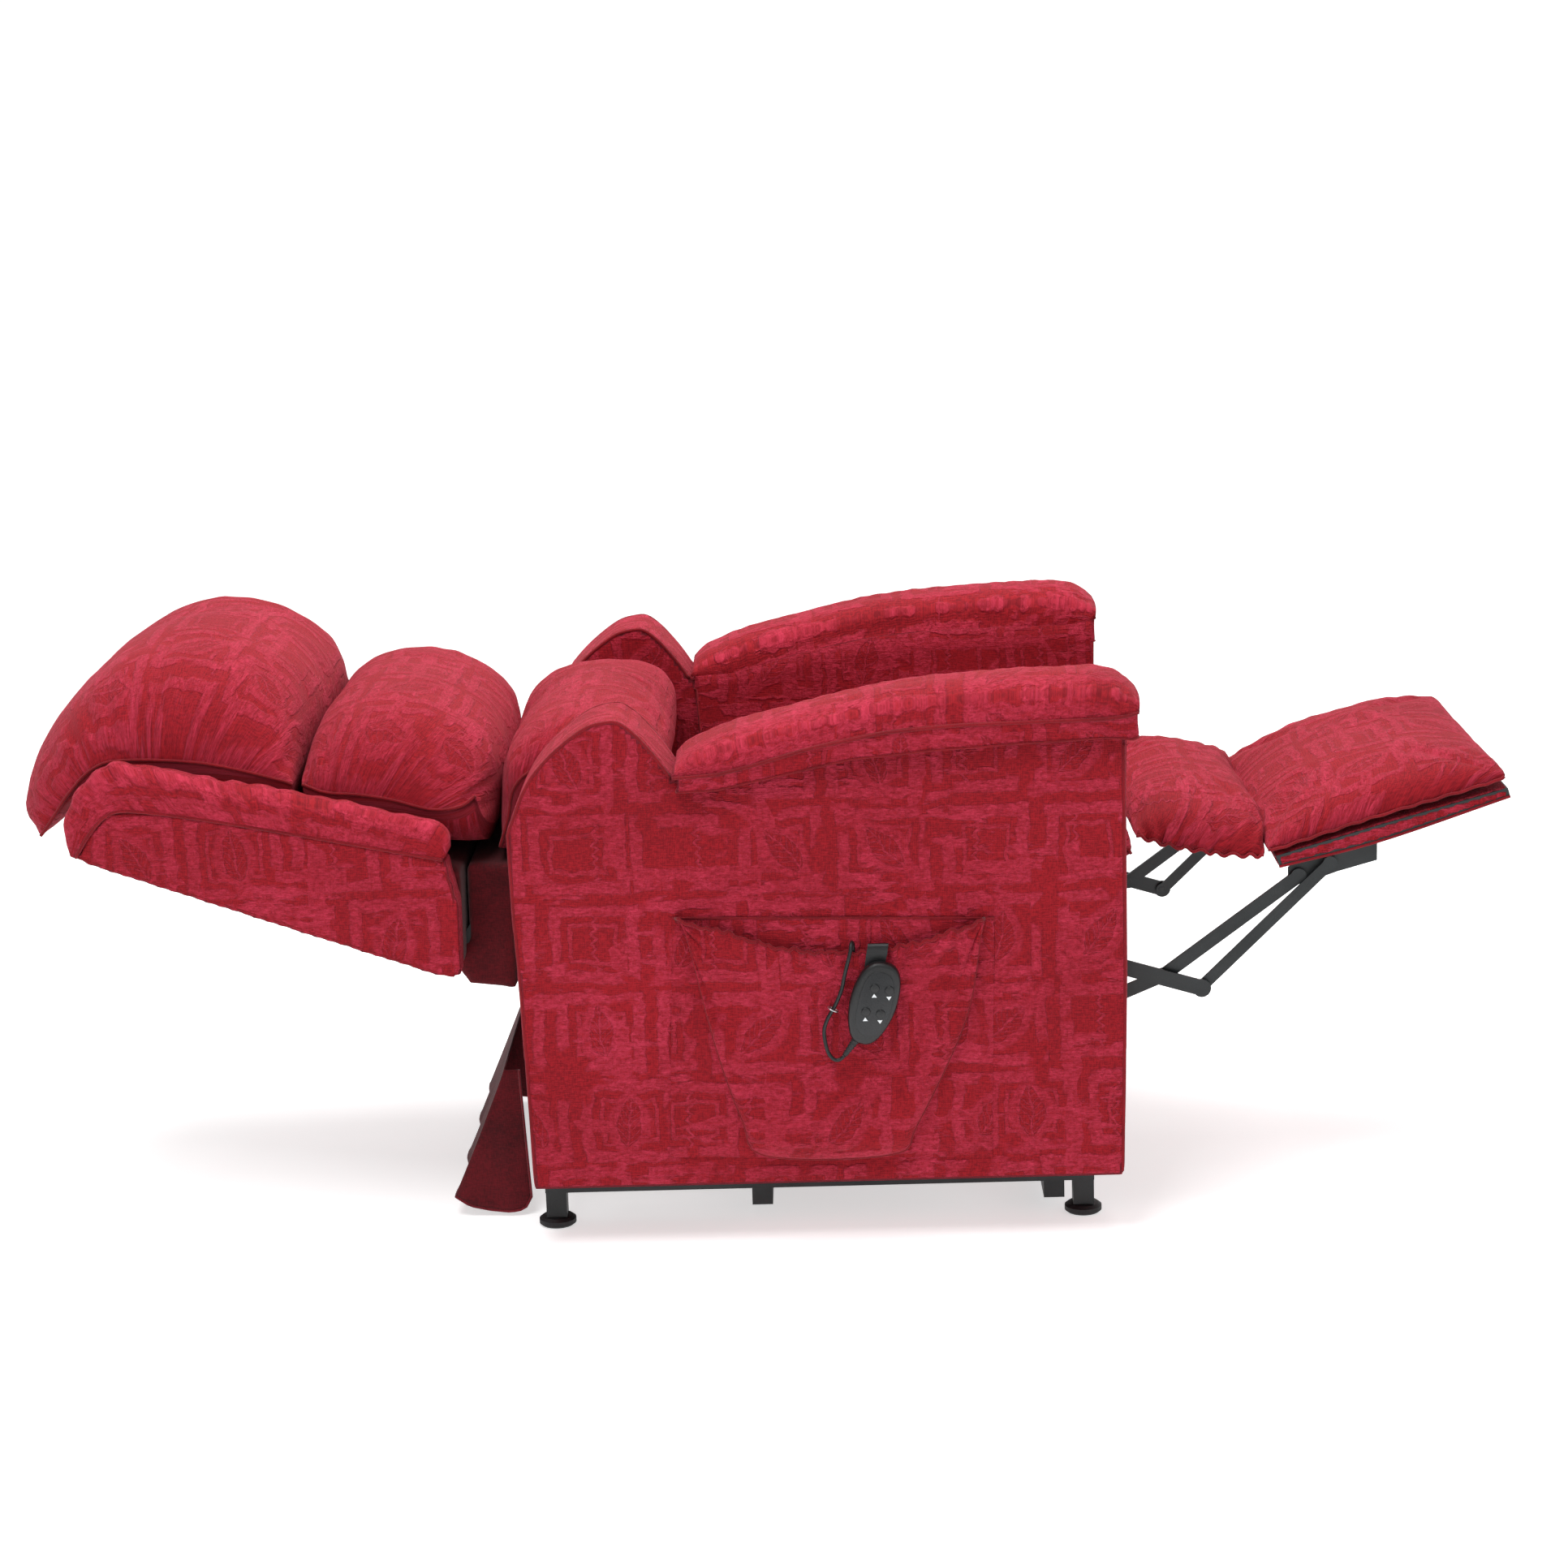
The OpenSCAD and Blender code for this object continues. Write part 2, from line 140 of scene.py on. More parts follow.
def mixc(nt, f, a, b):
    n = nt.nodes.new("ShaderNodeMix")
    n.data_type = "RGBA"
    nt.links.new(f.s, n.inputs[0])
    for i, c in ((6, a), (7, b)):
        if isinstance(c, tuple):
            n.inputs[i].default_value = (*c, 1)
        else:
            nt.links.new(c, n.inputs[i])
    return n.outputs[2]


def new_mat(name, color=(0.5, 0.5, 0.5), rough=0.5, metal=0.0):
    m = bpy.data.materials.new(name)
    m.use_nodes = True
    b = m.node_tree.nodes["Principled BSDF"]
    b.inputs["Base Color"].default_value = (*color, 1)
    b.inputs["Roughness"].default_value = rough
    b.inputs["Metallic"].default_value = metal
    m.diffuse_color = (*color, 1)
    return m, m.node_tree, b


def bump(nt, b, h, dist, strength=1.0):
    n = nt.nodes.new("ShaderNodeBump")
    n.inputs["Distance"].default_value = dist
    n.inputs["Strength"].default_value = strength
    nt.links.new(h.s, n.inputs["Height"])
    nt.links.new(n.outputs[0], b.inputs["Normal"])


def lin(r, g, b):
    return tuple((c / 255 / 12.92) if c / 255 <= 0.04045 else ((c / 255 + 0.055) / 1.055) ** 2.4 for c in (r, g, b))


CRIMSON, ROSE, DEEP = lin(150, 22, 36), lin(200, 58, 84), lin(112, 10, 22)


def chenille():
    """Two-tone figured chenille: crimson twill ground, rose pile in torn-edged frames, leaves and zig-zags."""
    m, nt, b = new_mat("figured_chenille", CRIMSON, 0.85)
    at = nt.nodes.new("ShaderNodeAttribute")
    at.attribute_name = "pat"
    P = at.outputs["Vector"]
    u, v, w = sep(nt, P)
    # torn-edge wobble of the drawing
    n1 = sep(nt, noise_tex(nt, P, 22, 3, 0.6, True))
    n2 = sep(nt, noise_tex(nt, P, 90, 3, 0.65, True))
    du = (n1[0] - 0.5) * 0.018 + (n2[0] - 0.5) * 0.006
    dv = (n1[1] - 0.5) * 0.018 + (n2[1] - 0.5) * 0.006
    uu, vv = u + du, v + dv
    CW, CH = 0.118, 0.108
    row = (vv / CH).floor()
    hs = white(nt, vec(nt, row, 3.7, w))
    cu = uu / CW + hs[0] * 0.9
    col = cu.floor()
    lu = (cu - col - 0.5) * CW
    lv = (vv / CH - row - 0.5) * CH
    h = white(nt, vec(nt, col, row, w))
    # torn frame around a cell
    hw, hh = 0.040 + h[0] * 0.010, 0.038 + h[1] * 0.008
    e = (lu.abs() - hw).max(lv.abs() - hh)
    ring = e.abs().ss(0.0085, 0.0055)
    gap = noise_tex(nt, vec(nt, u, v, 4.0), 16, 2, 0.5).ss(0.40, 0.46)
    ring = ring * gap
    ring2 = (e + 0.018).abs().ss(0.0032, 0.0018) * h[2].gt(0.45)
    # leaf in the cell
    ang = (h[2] - 0.5) * 1.7
    ca, sa = ang._op("COSINE"), ang.sin()
    lx, ly = lu * ca + lv * sa, lv * ca - lu * sa
    t = ly / 0.034
    half = (1.0 - t * t).max(0.0).pow(0.75) * (t * -0.25 + 1.0) * 0.0165
    inside = (half - lx.abs())
    leaf_line = (inside - 0.0012).abs().ss(0.0026, 0.0012) * t.abs().lt(1.04)
    rib = lx.abs().ss(0.0019, 0.0008) * t.abs().lt(1.15)
    vein = ((ly - lx.abs() * 1.1) / 0.0088).fract()
    vein = (vein - 0.5).abs().ss(0.17, 0.07) * inside.gt(0.001)
    fill = inside.gt(0.0)
    isleaf = h[1].gt(0.38)
    leaf = leaf_line.max(rib).max(vein * 0.8) * isleaf
    halo = inside.ss(-0.012, -0.006) * isleaf * (1.0 - fill)
    # zig-zag strip in other cells
    zz = ((lu + ((lv / 0.012).fract() - 0.5).abs() * 0.012) - 0.012 * (h[0] * 4 - 2))
    zig = zz.abs().ss(0.0028, 0.0014) * (1.0 - isleaf) * lv.abs().lt(0.034)
    # labyrinth bands between the cells
    bu, bv = (uu / 0.176).fract(), (vv / 0.151).fract()
    band = bu.lt(0.12).max(bv.lt(0.10)) * noise_tex(nt, vec(nt, u, v, 9.0), 9, 1, 0.5).gt(0.49)
    # brushed, torn patches of pile
    br = noise_tex(nt, vec(nt, u * 0.32, v, w), 58, 4, 0.62)
    patch = noise_tex(nt, vec(nt, u, v * 1.2, 2.0), 11, 2, 0.5).ss(0.52, 0.58)
    brush = br.ss(0.50, 0.57) * patch
    pat = ring.max(leaf).max(zig).max(band * 0.85).max(halo * 0.75).max(ring2 * 0.8)
    solid = pat.max(brush * 0.8)
    solid = solid * (1.0 - fill * isleaf * 0.9 * (1.0 - leaf))
    torn = noise_tex(nt, P, 210, 3, 0.7)
    fine = noise_tex(nt, vec(nt, u * 0.6, v * 1.6, w + 2.0), 120, 4, 0.7)
    pile = (solid * (torn.ss(0.34, 0.56) * 0.5 + 0.30) * (fine.ss(0.36, 0.56) * 0.65 + 0.35) + brush * 0.25).min(1.0)
    # weave: rib across, thread along, and fine slub
    K = 2 * math.pi / 0.0021
    weave = ((u * K).sin() * 0.5 + (v * (K * 0.82)).sin() * 0.5)
    slub = noise_tex(nt, vec(nt, u * 0.22, v, 0.0), 560, 3, 0.7)
    slub2 = noise_tex(nt, vec(nt, u, v * 0.22, 5.0), 560, 3, 0.7)
    cloud = noise_tex(nt, P, 5, 2, 0.5)
    ground = mixc(nt, (weave * 0.14 + 0.5 + (slub - 0.5) * 2.3 + (slub2 - 0.5) * 1.7 + (cloud - 0.5) * 0.5).ss(0.0, 1.0), DEEP, lin(156, 24, 34))
    rose = mixc(nt, (slub * 1.6 - 0.3 + (cloud - 0.5) * 0.6).ss(0.0, 1.0), lin(160, 30, 48), lin(196, 56, 82))
    nt.links.new(mixc(nt, pile, ground, rose), b.inputs["Base Color"])
    b.inputs["Sheen Weight"].default_value = 0.24
    b.inputs["Sheen Roughness"].default_value = 0.42
    b.inputs["Sheen Tint"].default_value = (*lin(255, 120, 140), 1)
    b.inputs["Specular IOR Level"].default_value = 0.18
    height = pile * 1.0 + weave * 0.10 + slub * 0.35 + slub2 * 0.25 + solid.ss(0.0, 0.9) * 0.6
    bump(nt, b, height, 0.0016, 1.0)
    return m


def plain_fabric(name, ca, cb, sheen=0.25, scale=800, dist=0.0004):
    m, nt, b = new_mat(name, ca, 0.9)
    tc = nt.nodes.new("ShaderNodeTexCoord")
    P = tc.outputs["Object"]
    x, y, z = sep(nt, P)
    a = noise_tex(nt, vec(nt, x * 0.2, y, z), scale, 2, 0.6)
    c = noise_tex(nt, vec(nt, x, y * 0.2, z * 0.2), scale, 2, 0.6)
    d = noise_tex(nt, P, 14, 3, 0.6)
    f = (a * 0.8 + c * 0.8 + d * 0.9 - 0.75).ss(0.1, 0.9)
    nt.links.new(mixc(nt, f, ca, cb), b.inputs["Base Color"])
    b.inputs["Sheen Weight"].default_value = sheen
    b.inputs["Sheen Roughness"].default_value = 0.5
    b.inputs["Specular IOR Level"].default_value = 0.2
    bump(nt, b, a + c + d * 0.6, dist)
    return m


def coated(name, ca, cb, rough=0.45, metal=0.0, scale=420, dist=0.0003, wear=0.0):
    """Moulded plastic or powder coat: fine grain, faint mottling and duller patches."""
    m, nt, b = new_mat(name, ca, rough, metal)
    tc = nt.nodes.new("ShaderNodeTexCoord")
    P = tc.outputs["Object"]
    g = noise_tex(nt, P, scale, 3, 0.6)
    d = noise_tex(nt, P, 9, 4, 0.6)
    nt.links.new(mixc(nt, (g * 0.7 + d * 0.6 - 0.3).ss(0.1, 0.8), ca, cb), b.inputs["Base Color"])
    rr = (d.ss(0.35, 0.7) * 0.16 + (g - 0.5) * 0.12 + (rough - 0.05))
    nt.links.new(rr.s, b.inputs["Roughness"])
    bump(nt, b, g + d * 0.3, dist)
    return m


def steel(name, color, rough=0.3):
    m, nt, b = new_mat(name, color, rough, 1.0)
    tc = nt.nodes.new("ShaderNodeTexCoord")
    P = tc.outputs["Object"]
    x, y, z = sep(nt, P)
    s = noise_tex(nt, vec(nt, x, y * 0.05, z), 700, 3, 0.6)
    d = noise_tex(nt, P, 12, 3, 0.5)
    nt.links.new(mixc(nt, (s * 0.8 + d * 0.5 - 0.2).ss(0.1, 0.8), tuple(c * 0.7 for c in color), color), b.inputs["Base Color"])
    nt.links.new((s * 0.25 + rough - 0.1).s, b.inputs["Roughness"])
    bump(nt, b, s, 0.0001)
    return m


def timber(name):
    m, nt, b = new_mat(name, lin(190, 150, 100), 0.6)
    tc = nt.nodes.new("ShaderNodeTexCoord")
    x, y, z = sep(nt, tc.outputs["Object"])
    d = noise_tex(nt, vec(nt, x * 1.0, y * 0.15, z), 30, 4, 0.6)
    g = ((d * 14 + z * 60).sin() * 0.5 + 0.5)
    f = noise_tex(nt, vec(nt, x, y * 0.05, z), 600, 2, 0.5)
    nt.links.new(mixc(nt, (g * 0.7 + f * 0.5 - 0.15).ss(0.0, 1.0), lin(205, 168, 118), lin(158, 112, 66)), b.inputs["Base Color"])
    bump(nt, b, g * 0.4 + f, 0.0003)
    return m


FAB = chenille()
# dark maroon lining with painted shade: its colour is darkened to stand for the shadow on the back skirt, the rear
# valance and the undersides it covers
LINING_PAINTED_SHADE = plain_fabric("maroon_lining_painted_shade", lin(98, 14, 24), lin(56, 7, 13), 0.1)
# painted highlight: a lighter copy of the lining for the hems and edges, standing for light catching them
LINING_LIT = plain_fabric("maroon_hem_painted_highlight", lin(120, 18, 32), lin(84, 10, 20), 0.3)
PIPING = plain_fabric("red_piping", lin(142, 20, 32), lin(100, 10, 20), 0.1, 1400)
BLACKSTEEL = coated("black_powder_coat", lin(17, 22, 24), lin(8, 10, 11), 0.5, 0.0, 900, 0.00015)
LINKSTEEL = coated("satin_black_link", lin(22, 28, 30), lin(12, 15, 16), 0.46, 0.0, 700, 0.0001)
BRIGHT = steel("zinc_steel", (0.62, 0.62, 0.64))
WOOD = timber("planed_softwood")
FOAM = plain_fabric("foam_webbing", lin(215, 200, 160), lin(190, 172, 130), 0.1, 300)
PLASTIC = coated("black_moulding", lin(17, 18, 20), lin(9, 10, 11), 0.36)
RUBBER = coated("black_rubber", lin(26, 26, 28), lin(14, 14, 15), 0.6, 0.0, 500, 0.0004)
BUTTON = coated("dark_key", lin(24, 26, 29), lin(15, 16, 18), 0.42)
WHITE = coated("white_print", lin(225, 228, 230), lin(200, 204, 208), 0.5)
CORD = coated("cord_jacket", lin(14, 15, 17), lin(8, 9, 10), 0.4)


# ------------------------------------------------------------------ mesh helpers
def make(name, verts, faces, body, mat, smooth=True, pat=None, replaces=()):
    me = bpy.data.meshes.new(name)
    me.from_pydata([tuple(map(float, v)) for v in verts], [], [tuple(int(i) for i in f) for f in faces])
    me.update()
    o = bpy.data.objects.new(name, me)
    SC.collection.objects.link(o)
    me.materials.append(mat)
    if smooth:
        me.polygons.foreach_set("use_smooth", [True] * len(me.polygons))
    if pat is not None:
        set_pat(o, pat)
    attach(o, body)
    if replaces:
        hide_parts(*replaces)
    return o


def set_pat(o, pat):
    a = o.data.attributes.get("pat") or o.data.attributes.new("pat", "FLOAT_VECTOR", "POINT")
    a.data.foreach_set("vector", np.asarray(pat, np.float32).ravel())


def resample(pts, n, closed=False):
    """n points evenly along a smooth curve through pts (mm)."""
    p = np.asarray(pts, float)
    if closed:
        p = np.vstack([p, p[:1]])
    # a light Catmull-Rom for roundness
    q = []
    m = len(p)
    for i in range(m - 1):
        p0 = p[i - 1] if i > 0 else (p[-2] if closed else p[0] * 2 - p[1])
        p3 = p[i + 2] if i + 2 < m else (p[1] if closed else p[-1] * 2 - p[-2])
        p1, p2 = p[i], p[i + 1]
        for t in np.linspace(0, 1, 12, endpoint=False):
            q.append(0.5 * ((2 * p1) + (p2 - p0) * t + (2 * p0 - 5 * p1 + 4 * p2 - p3) * t * t + (3 * p1 - p0 - 3 * p2 + p3) * t ** 3))
    q.append(p[-1])
    q = np.array(q)
    s = np.r_[0, np.cumsum(np.linalg.norm(np.diff(q, axis=0), axis=1))]
    t = np.linspace(0, s[-1], n + (1 if closed else 0))
    out = np.stack([np.interp(t, s, q[:, k]) for k in range(q.shape[1])], 1)
    return out[:-1] if closed else out


def fbm(x, y, z=0.0, scale=1.0, oct_=3):
    return noise.fractal(Vector((x * scale, y * scale, z)), 1.0, 2.0, oct_, noise_basis="PERLIN_ORIGINAL")


def pillow(name, body, seam, top, bottom, y0, y1, ns=64, nt_=72, power=7.0, ripple=3.0, wave=30.0, seed=0, replaces=(),
           cloth=0.0, pressure=4.0, pat_off=(0, 0), wob=2.5, sag=0.0, mat=None, uv=0, endpow=None, pins=True, scallop=0.0, ends=(True, True)):
    """A sewn pillow: top sheet crowned over a seam line, bottom sheet below it, both gathered at the two ends. Profiles in [x, z] mm."""
    S, T, B = (resample(c, ns) for c in (seam, top, bottom))
    yc, hw = (y0 + y1) / 2, (y1 - y0) / 2
    rnd = random.Random(seed)
    # denser rows towards the ends
    tt = np.sin(np.linspace(-math.pi / 2, math.pi / 2, nt_)) * 0.55 + np.linspace(-1, 1, nt_) * 0.45
    arc = np.r_[0, np.cumsum(np.linalg.norm(np.diff(T, axis=0), axis=1))]
    ph = rnd.random() * 50
    verts, pat, idx_t, idx_b = [], [], np.zeros((nt_, ns), int), np.zeros((nt_, ns), int)
    for j, t in enumerate(tt):
        f = max(0.0, 1 - abs(t) ** power) ** (1 / (endpow or power ** 0.55))
        for i in range(ns):
            x, z = S[i] + f * (T[i] - S[i])
            d = T[i] - S[i]
            L = max(np.linalg.norm(d), 1e-6)
            nrm = d / L
            y = yc + hw * t
            # ends pull in between the corners
            y -= math.copysign(1, t) * (abs(t) ** 10) * 5.0 * math.sin(math.pi * i / (ns - 1)) * (0.4 if abs(t) > 0.999 else 1.0)
            # gathers fade away from the end seam
            dist = hw * (1 - abs(t))
            env = math.exp(-(dist / 55.0)) * min(1.0, L / 40.0) * min(1, f * 2.2)
            s = arc[i]
            g = math.sin(2 * math.pi * (s + 9 * fbm(s * 0.02, t * 3 + ph)) / wave) * (0.6 + 0.8 * fbm(s * 0.013 + ph, 7.7))
            lump = fbm(s * 0.011 + ph, y * 0.009) * wob * f
            q = np.array([x, z]) + nrm * (ripple * env * g + lump)
            q[1] += scallop * math.exp(-dist / 22.0) * math.sin(2 * math.pi * s / wave + 1.3 * fbm(s * 0.03, 2.2)) * min(1.0, i / 4, (ns - 1 - i) / 4)
            idx_t[j, i] = len(verts)
            verts.append((q[0] * MM, y * MM, q[1] * MM))
            pat.append(((y if uv == 0 else s) * MM + pat_off[0], (s if uv == 0 else y) * MM + pat_off[1] + (1 - f) * 0.04, seed * 1.0))
    for j, t in enumerate(tt):
        f = max(0.0, 1 - abs(t) ** power) ** (1 / (endpow or power ** 0.55))
        for i in range(ns):
            if j in (0, nt_ - 1) or i in (0, ns - 1):
                idx_b[j, i] = idx_t[j, i]
                continue
            x, z = S[i] + f * (B[i] - S[i])
            idx_b[j, i] = len(verts)
            y = yc + hw * t
            verts.append((x * MM, y * MM, z * MM))
            pat.append((y * MM + pat_off[0], arc[i] * MM + pat_off[1] + 0.3, seed * 1.0))
    faces = []
    for j in range(nt_ - 1):
        for i in range(ns - 1):
            faces.append((idx_t[j, i], idx_t[j, i + 1], idx_t[j + 1, i + 1], idx_t[j + 1, i]))
            faces.append((idx_b[j, i], idx_b[j + 1, i], idx_b[j + 1, i + 1], idx_b[j, i + 1]))
    o = make(name, verts, faces, body, mat or FAB, True, pat, replaces)
    fix_normals(o)
    if cloth > 0:
        puff(o, cloth, pressure, hold=[idx_t[j, i] for j in range(nt_) for i in (0, ns - 1)] + [idx_t[j, i] for j in (0, nt_ - 1) for i in range(ns)] + [int(k) for k in set(idx_b.ravel()) - set(idx_t.ravel())])
    # sewn line round both ends
    for k, j in ((0, 0), (1, nt_ - 1)):
        if not ends[k]:
            continue
        line = [o.data.vertices[idx_t[j, i]].co.copy() for i in range(ns)]
        o2 = tube(f"{name}_welt_{k + 1}", line, 1.9 * MM, body, PIPING)
    return o, idx_t, idx_b


def fix_normals(o):
    bm = bmesh.new()
    bm.from_mesh(o.data)
    bmesh.ops.recalc_face_normals(bm, faces=bm.faces)
    bm.to_mesh(o.data)
    bm.free()
    o.data.update()


def puff(o, cap, pressure=4.0, hold=(), frames=20):
    """Inflates a sewn cover with Cloth, caps how far a point may move (m), and keeps the result."""
    rest = np.array([v.co for v in o.data.vertices])
    vg = o.vertex_groups.new(name="hold")
    vg.add([int(i) for i in hold], 1.0, "REPLACE")
    c = o.modifiers.new("cloth", "CLOTH")
    st = c.settings
    st.quality, st.mass = 5, 0.35
    st.tension_stiffness = st.compression_stiffness = 12
    st.shear_stiffness, st.bending_stiffness = 6, 0.6
    st.use_pressure, st.uniform_pressure_force = True, pressure
    st.effector_weights.gravity = 0
    st.vertex_group_mass = "hold"
    c.collision_settings.use_collision = False
    c.collision_settings.use_self_collision = False
    for f in range(1, frames + 1):
        SC.frame_set(f)
    ev = o.evaluated_get(bpy.context.evaluated_depsgraph_get())
    got = np.array([v.co for v in ev.data.vertices])
    o.modifiers.remove(c)
    o.vertex_groups.clear()
    SC.frame_set(1)
    d = got - rest
    L = np.linalg.norm(d, axis=1, keepdims=True)
    d = np.where(L > cap, d * cap / np.maximum(L, 1e-9), d)
    o.data.vertices.foreach_set("co", (rest + d).astype(np.float32).ravel())
    o.data.update()


def tube(name, pts, r, body, mat, closed=False, n=8, step=1):
    """A round welt or wire along points in metres, as a mesh."""
    P = np.array([tuple(p) for p in pts], float)[::step]
    m = len(P)
    verts, faces, pat = [], [], []
    prev = None
    s = 0.0
    for i in range(m):
        a = P[(i - 1) % m] if (closed or i > 0) else P[i]
        b = P[(i + 1) % m] if (closed or i < m - 1) else P[i]
        t = b - a
        t = t / max(np.linalg.norm(t), 1e-9)
        if prev is None:
            prev = np.cross(t, (0.3, 0.9, 0.31))
        u = prev - t * (prev @ t)
        u = u / max(np.linalg.norm(u), 1e-9)
        prev = u
        v = np.cross(t, u)
        if i:
            s += np.linalg.norm(P[i] - P[i - 1])
        for k in range(n):
            c = P[i] + r * (math.cos(2 * math.pi * k / n) * u + math.sin(2 * math.pi * k / n) * v)
            verts.append(c)
            pat.append((s, r * k, 3.0))
    for i in range(m if closed else m - 1):
        for k in range(n):
            a, b = i * n + k, i * n + (k + 1) % n
            c, d = ((i + 1) % m) * n + (k + 1) % n, ((i + 1) % m) * n + k
            faces.append((a, b, c, d))
    if not closed:
        faces += [tuple(range(n))[::-1], tuple((m - 1) * n + k for k in range(n))]
    return make(name, verts, faces, body, mat, True, pat)


def slab_cover(name, outline, y0, y1, body, replaces=(), voxel=6.0, smooth=6, puff_mm=4.0, mat=None, wob=1.2, rim=14.0, seed=0, dome=0.0, both_faces=True):
    """An upholstered board: an [x, z] outline filled from y0 to y1, with rounded edges, a slight crown on its faces and the cloth's small unevenness."""
    P = np.array(outline, float)
    n = len(P)
    verts = [(p[0] * MM, y0 * MM, p[1] * MM) for p in P] + [(p[0] * MM, y1 * MM, p[1] * MM) for p in P]
    faces = [tuple(range(n)), tuple(range(2 * n - 1, n - 1, -1))] + [(i, n + i, n + (i + 1) % n, (i + 1) % n) for i in range(n)]
    me = bpy.data.meshes.new(name)
    me.from_pydata(verts, [], faces)
    bm = bmesh.new()
    bm.from_mesh(me)
    bmesh.ops.recalc_face_normals(bm, faces=bm.faces)
    bm.to_mesh(me)
    bm.free()
    o = bpy.data.objects.new(name, me)
    SC.collection.objects.link(o)
    md = o.modifiers.new("remesh", "REMESH")
    md.mode, md.voxel_size = "VOXEL", voxel * MM
    sm = o.modifiers.new("smooth", "SMOOTH")
    sm.iterations, sm.factor = smooth, 0.5
    ev = o.evaluated_get(bpy.context.evaluated_depsgraph_get())
    nm = bpy.data.meshes.new_from_object(ev)
    o.modifiers.clear()
    o.data = nm
    co = np.array([v.co for v in nm.vertices]) / MM
    nr = np.array([v.normal for v in nm.vertices])
    Q = P[:, :] if not both_faces else P
    # distance to the outline, in the XZ plane
    A, B = Q, np.roll(Q, -1, 0)
    dmin = np.full(len(co), 1e9)
    arc = np.zeros(len(co))
    cum = np.r_[0, np.cumsum(np.linalg.norm(B - A, axis=1))]
    xz = co[:, [0, 2]]
    for i in range(n):
        d = B[i] - A[i]
        L2 = max(d @ d, 1e-9)
        t = np.clip(((xz - A[i]) @ d) / L2, 0, 1)
        dd = np.linalg.norm(xz - (A[i] + t[:, None] * d), axis=1)
        m = dd < dmin
        dmin[m] = dd[m]
        arc[m] = cum[i] + t[m] * math.sqrt(L2)
    face = np.abs(nr[:, 1]) > 0.72
    side = np.sign(co[:, 1] - (y0 + y1) / 2)
    env = np.clip(dmin / 60.0, 0, 1)
    env = env * env * (3 - 2 * env)
    lump = np.array([fbm(a * 0.007 + seed, b * 0.007, 1.5) + 0.4 * fbm(a * 0.022, b * 0.022 + seed, 4.0) for a, b in xz])
    co[:, 1] += np.where(face, side * ((puff_mm + wob * lump) * env + dome * env), 0)
    nm.vertices.foreach_set("co", (co * MM).astype(np.float32).ravel())
    pat = np.where(face[:, None], np.stack([co[:, 0], co[:, 2], np.full(len(co), seed)], 1), np.stack([co[:, 1] * 1.0 + 900, arc, np.full(len(co), seed + 0.0)], 1))
    pat[:, :2] *= MM
    nm.materials.clear()
    nm.materials.append(mat or FAB)
    nm.polygons.foreach_set("use_smooth", [True] * len(nm.polygons))
    set_pat(o, pat)
    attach(o, body)
    if replaces:
        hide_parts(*replaces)
    return o


def welt(name, pts, y, body, r=2.0, n=160, closed=False, mat=None):
    line = resample(pts, n, closed)
    return tube(name, [(p[0] * MM, y * MM, p[1] * MM) for p in line], r * MM, body, mat or PIPING, closed)


# ------------------------------------------------------------------ cord and handset
CP = [[95.1, -391.5, 244.5], [89.5, -391.5, 239.5], [83, -391.5, 239.5], [76.5, -390.5, 247], [73, -389, 260], [72, -387.5, 274], [76, -387, 287], [83, -386.5, 299], [89, -386.5, 311], [94, -386.5, 324], [97, -387, 338], [100, -387.5, 350], [103, -387.5, 361], [105, -386, 369.5], [106, -382.5, 375.5], [107, -377.5, 376.5], [108, -374, 372], [108, -373.2, 363], [107, -373, 349], [103, -373, 330], [96, -373, 305], [86, -373, 278],
      [74, -373, 250], [62, -373, 225], [50, -373, 204], [36, -373, 188], [20, -373, 178], [4, -373, 177], [-8, -373, 184], [-14, -373, 196], [-13, -373, 208], [-7, -373, 219], [3, -372.6, 225.5], [14, -372.5, 227]]
cp = resample(CP, 150)
cord = tube("handset_cord_jacket", cp * MM, 2.3 * MM, "chassis", CORD, n=12)
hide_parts("handset_cord")


def rounded_solid(name, outline, y0, y1, bev, body, mat, replaces=(), seg=4):
    P = np.array(outline, float)
    n = len(P)
    verts = [(p[0] * MM, y0 * MM, p[1] * MM) for p in P] + [(p[0] * MM, y1 * MM, p[1] * MM) for p in P]
    faces = [tuple(range(n)), tuple(range(2 * n - 1, n - 1, -1))] + [(i, n + i, n + (i + 1) % n, (i + 1) % n) for i in range(n)]
    o = make(name, verts, faces, body, mat, True, None, replaces)
    fix_normals(o)
    m = o.modifiers.new("bevel", "BEVEL")
    m.width, m.segments, m.limit_method, m.angle_limit = bev * MM, seg, "ANGLE", math.radians(50)
    return o


def hs(x, z):
    """Handset casing's own plane to the row's x and z, mm."""
    a = math.radians(15)
    return (130 + x * math.cos(a) + z * math.sin(a), 308 - x * math.sin(a) + z * math.cos(a))


out = []
for k in range(64):
    a = 2 * math.pi * k / 64
    # an egg-shaped outline with a slight waist
    z = 49.5 * math.sin(a)
    wtop = 27.4 if z > 0 else 22.0 + 5.4 * (1 + z / 49.5)
    out.append(hs(2.2 * (z / 49.5) + wtop * math.copysign(abs(math.cos(a)) ** 0.72, math.cos(a)), math.copysign(abs(math.sin(a)) ** 0.86, math.sin(a)) * 50.4 - 1))
casing = rounded_solid("handset_casing", out, -399.5, -383.5, 5.0, "chassis", PLASTIC, ("handset_body",), 5)
inner = []
for k in range(48):
    a = 2 * math.pi * k / 48
    inner.append(hs(1.5 + 19.5 * math.copysign(abs(math.cos(a)) ** 0.7, math.cos(a)), 39 * math.copysign(abs(math.sin(a)) ** 0.8, math.sin(a))))
panel = rounded_solid("handset_face", inner, -400.3, -398.9, 0.6, "chassis", BUTTON, (), 2)
BT = [(132, 327), (149, 324), (121, 299), (138, 296)]
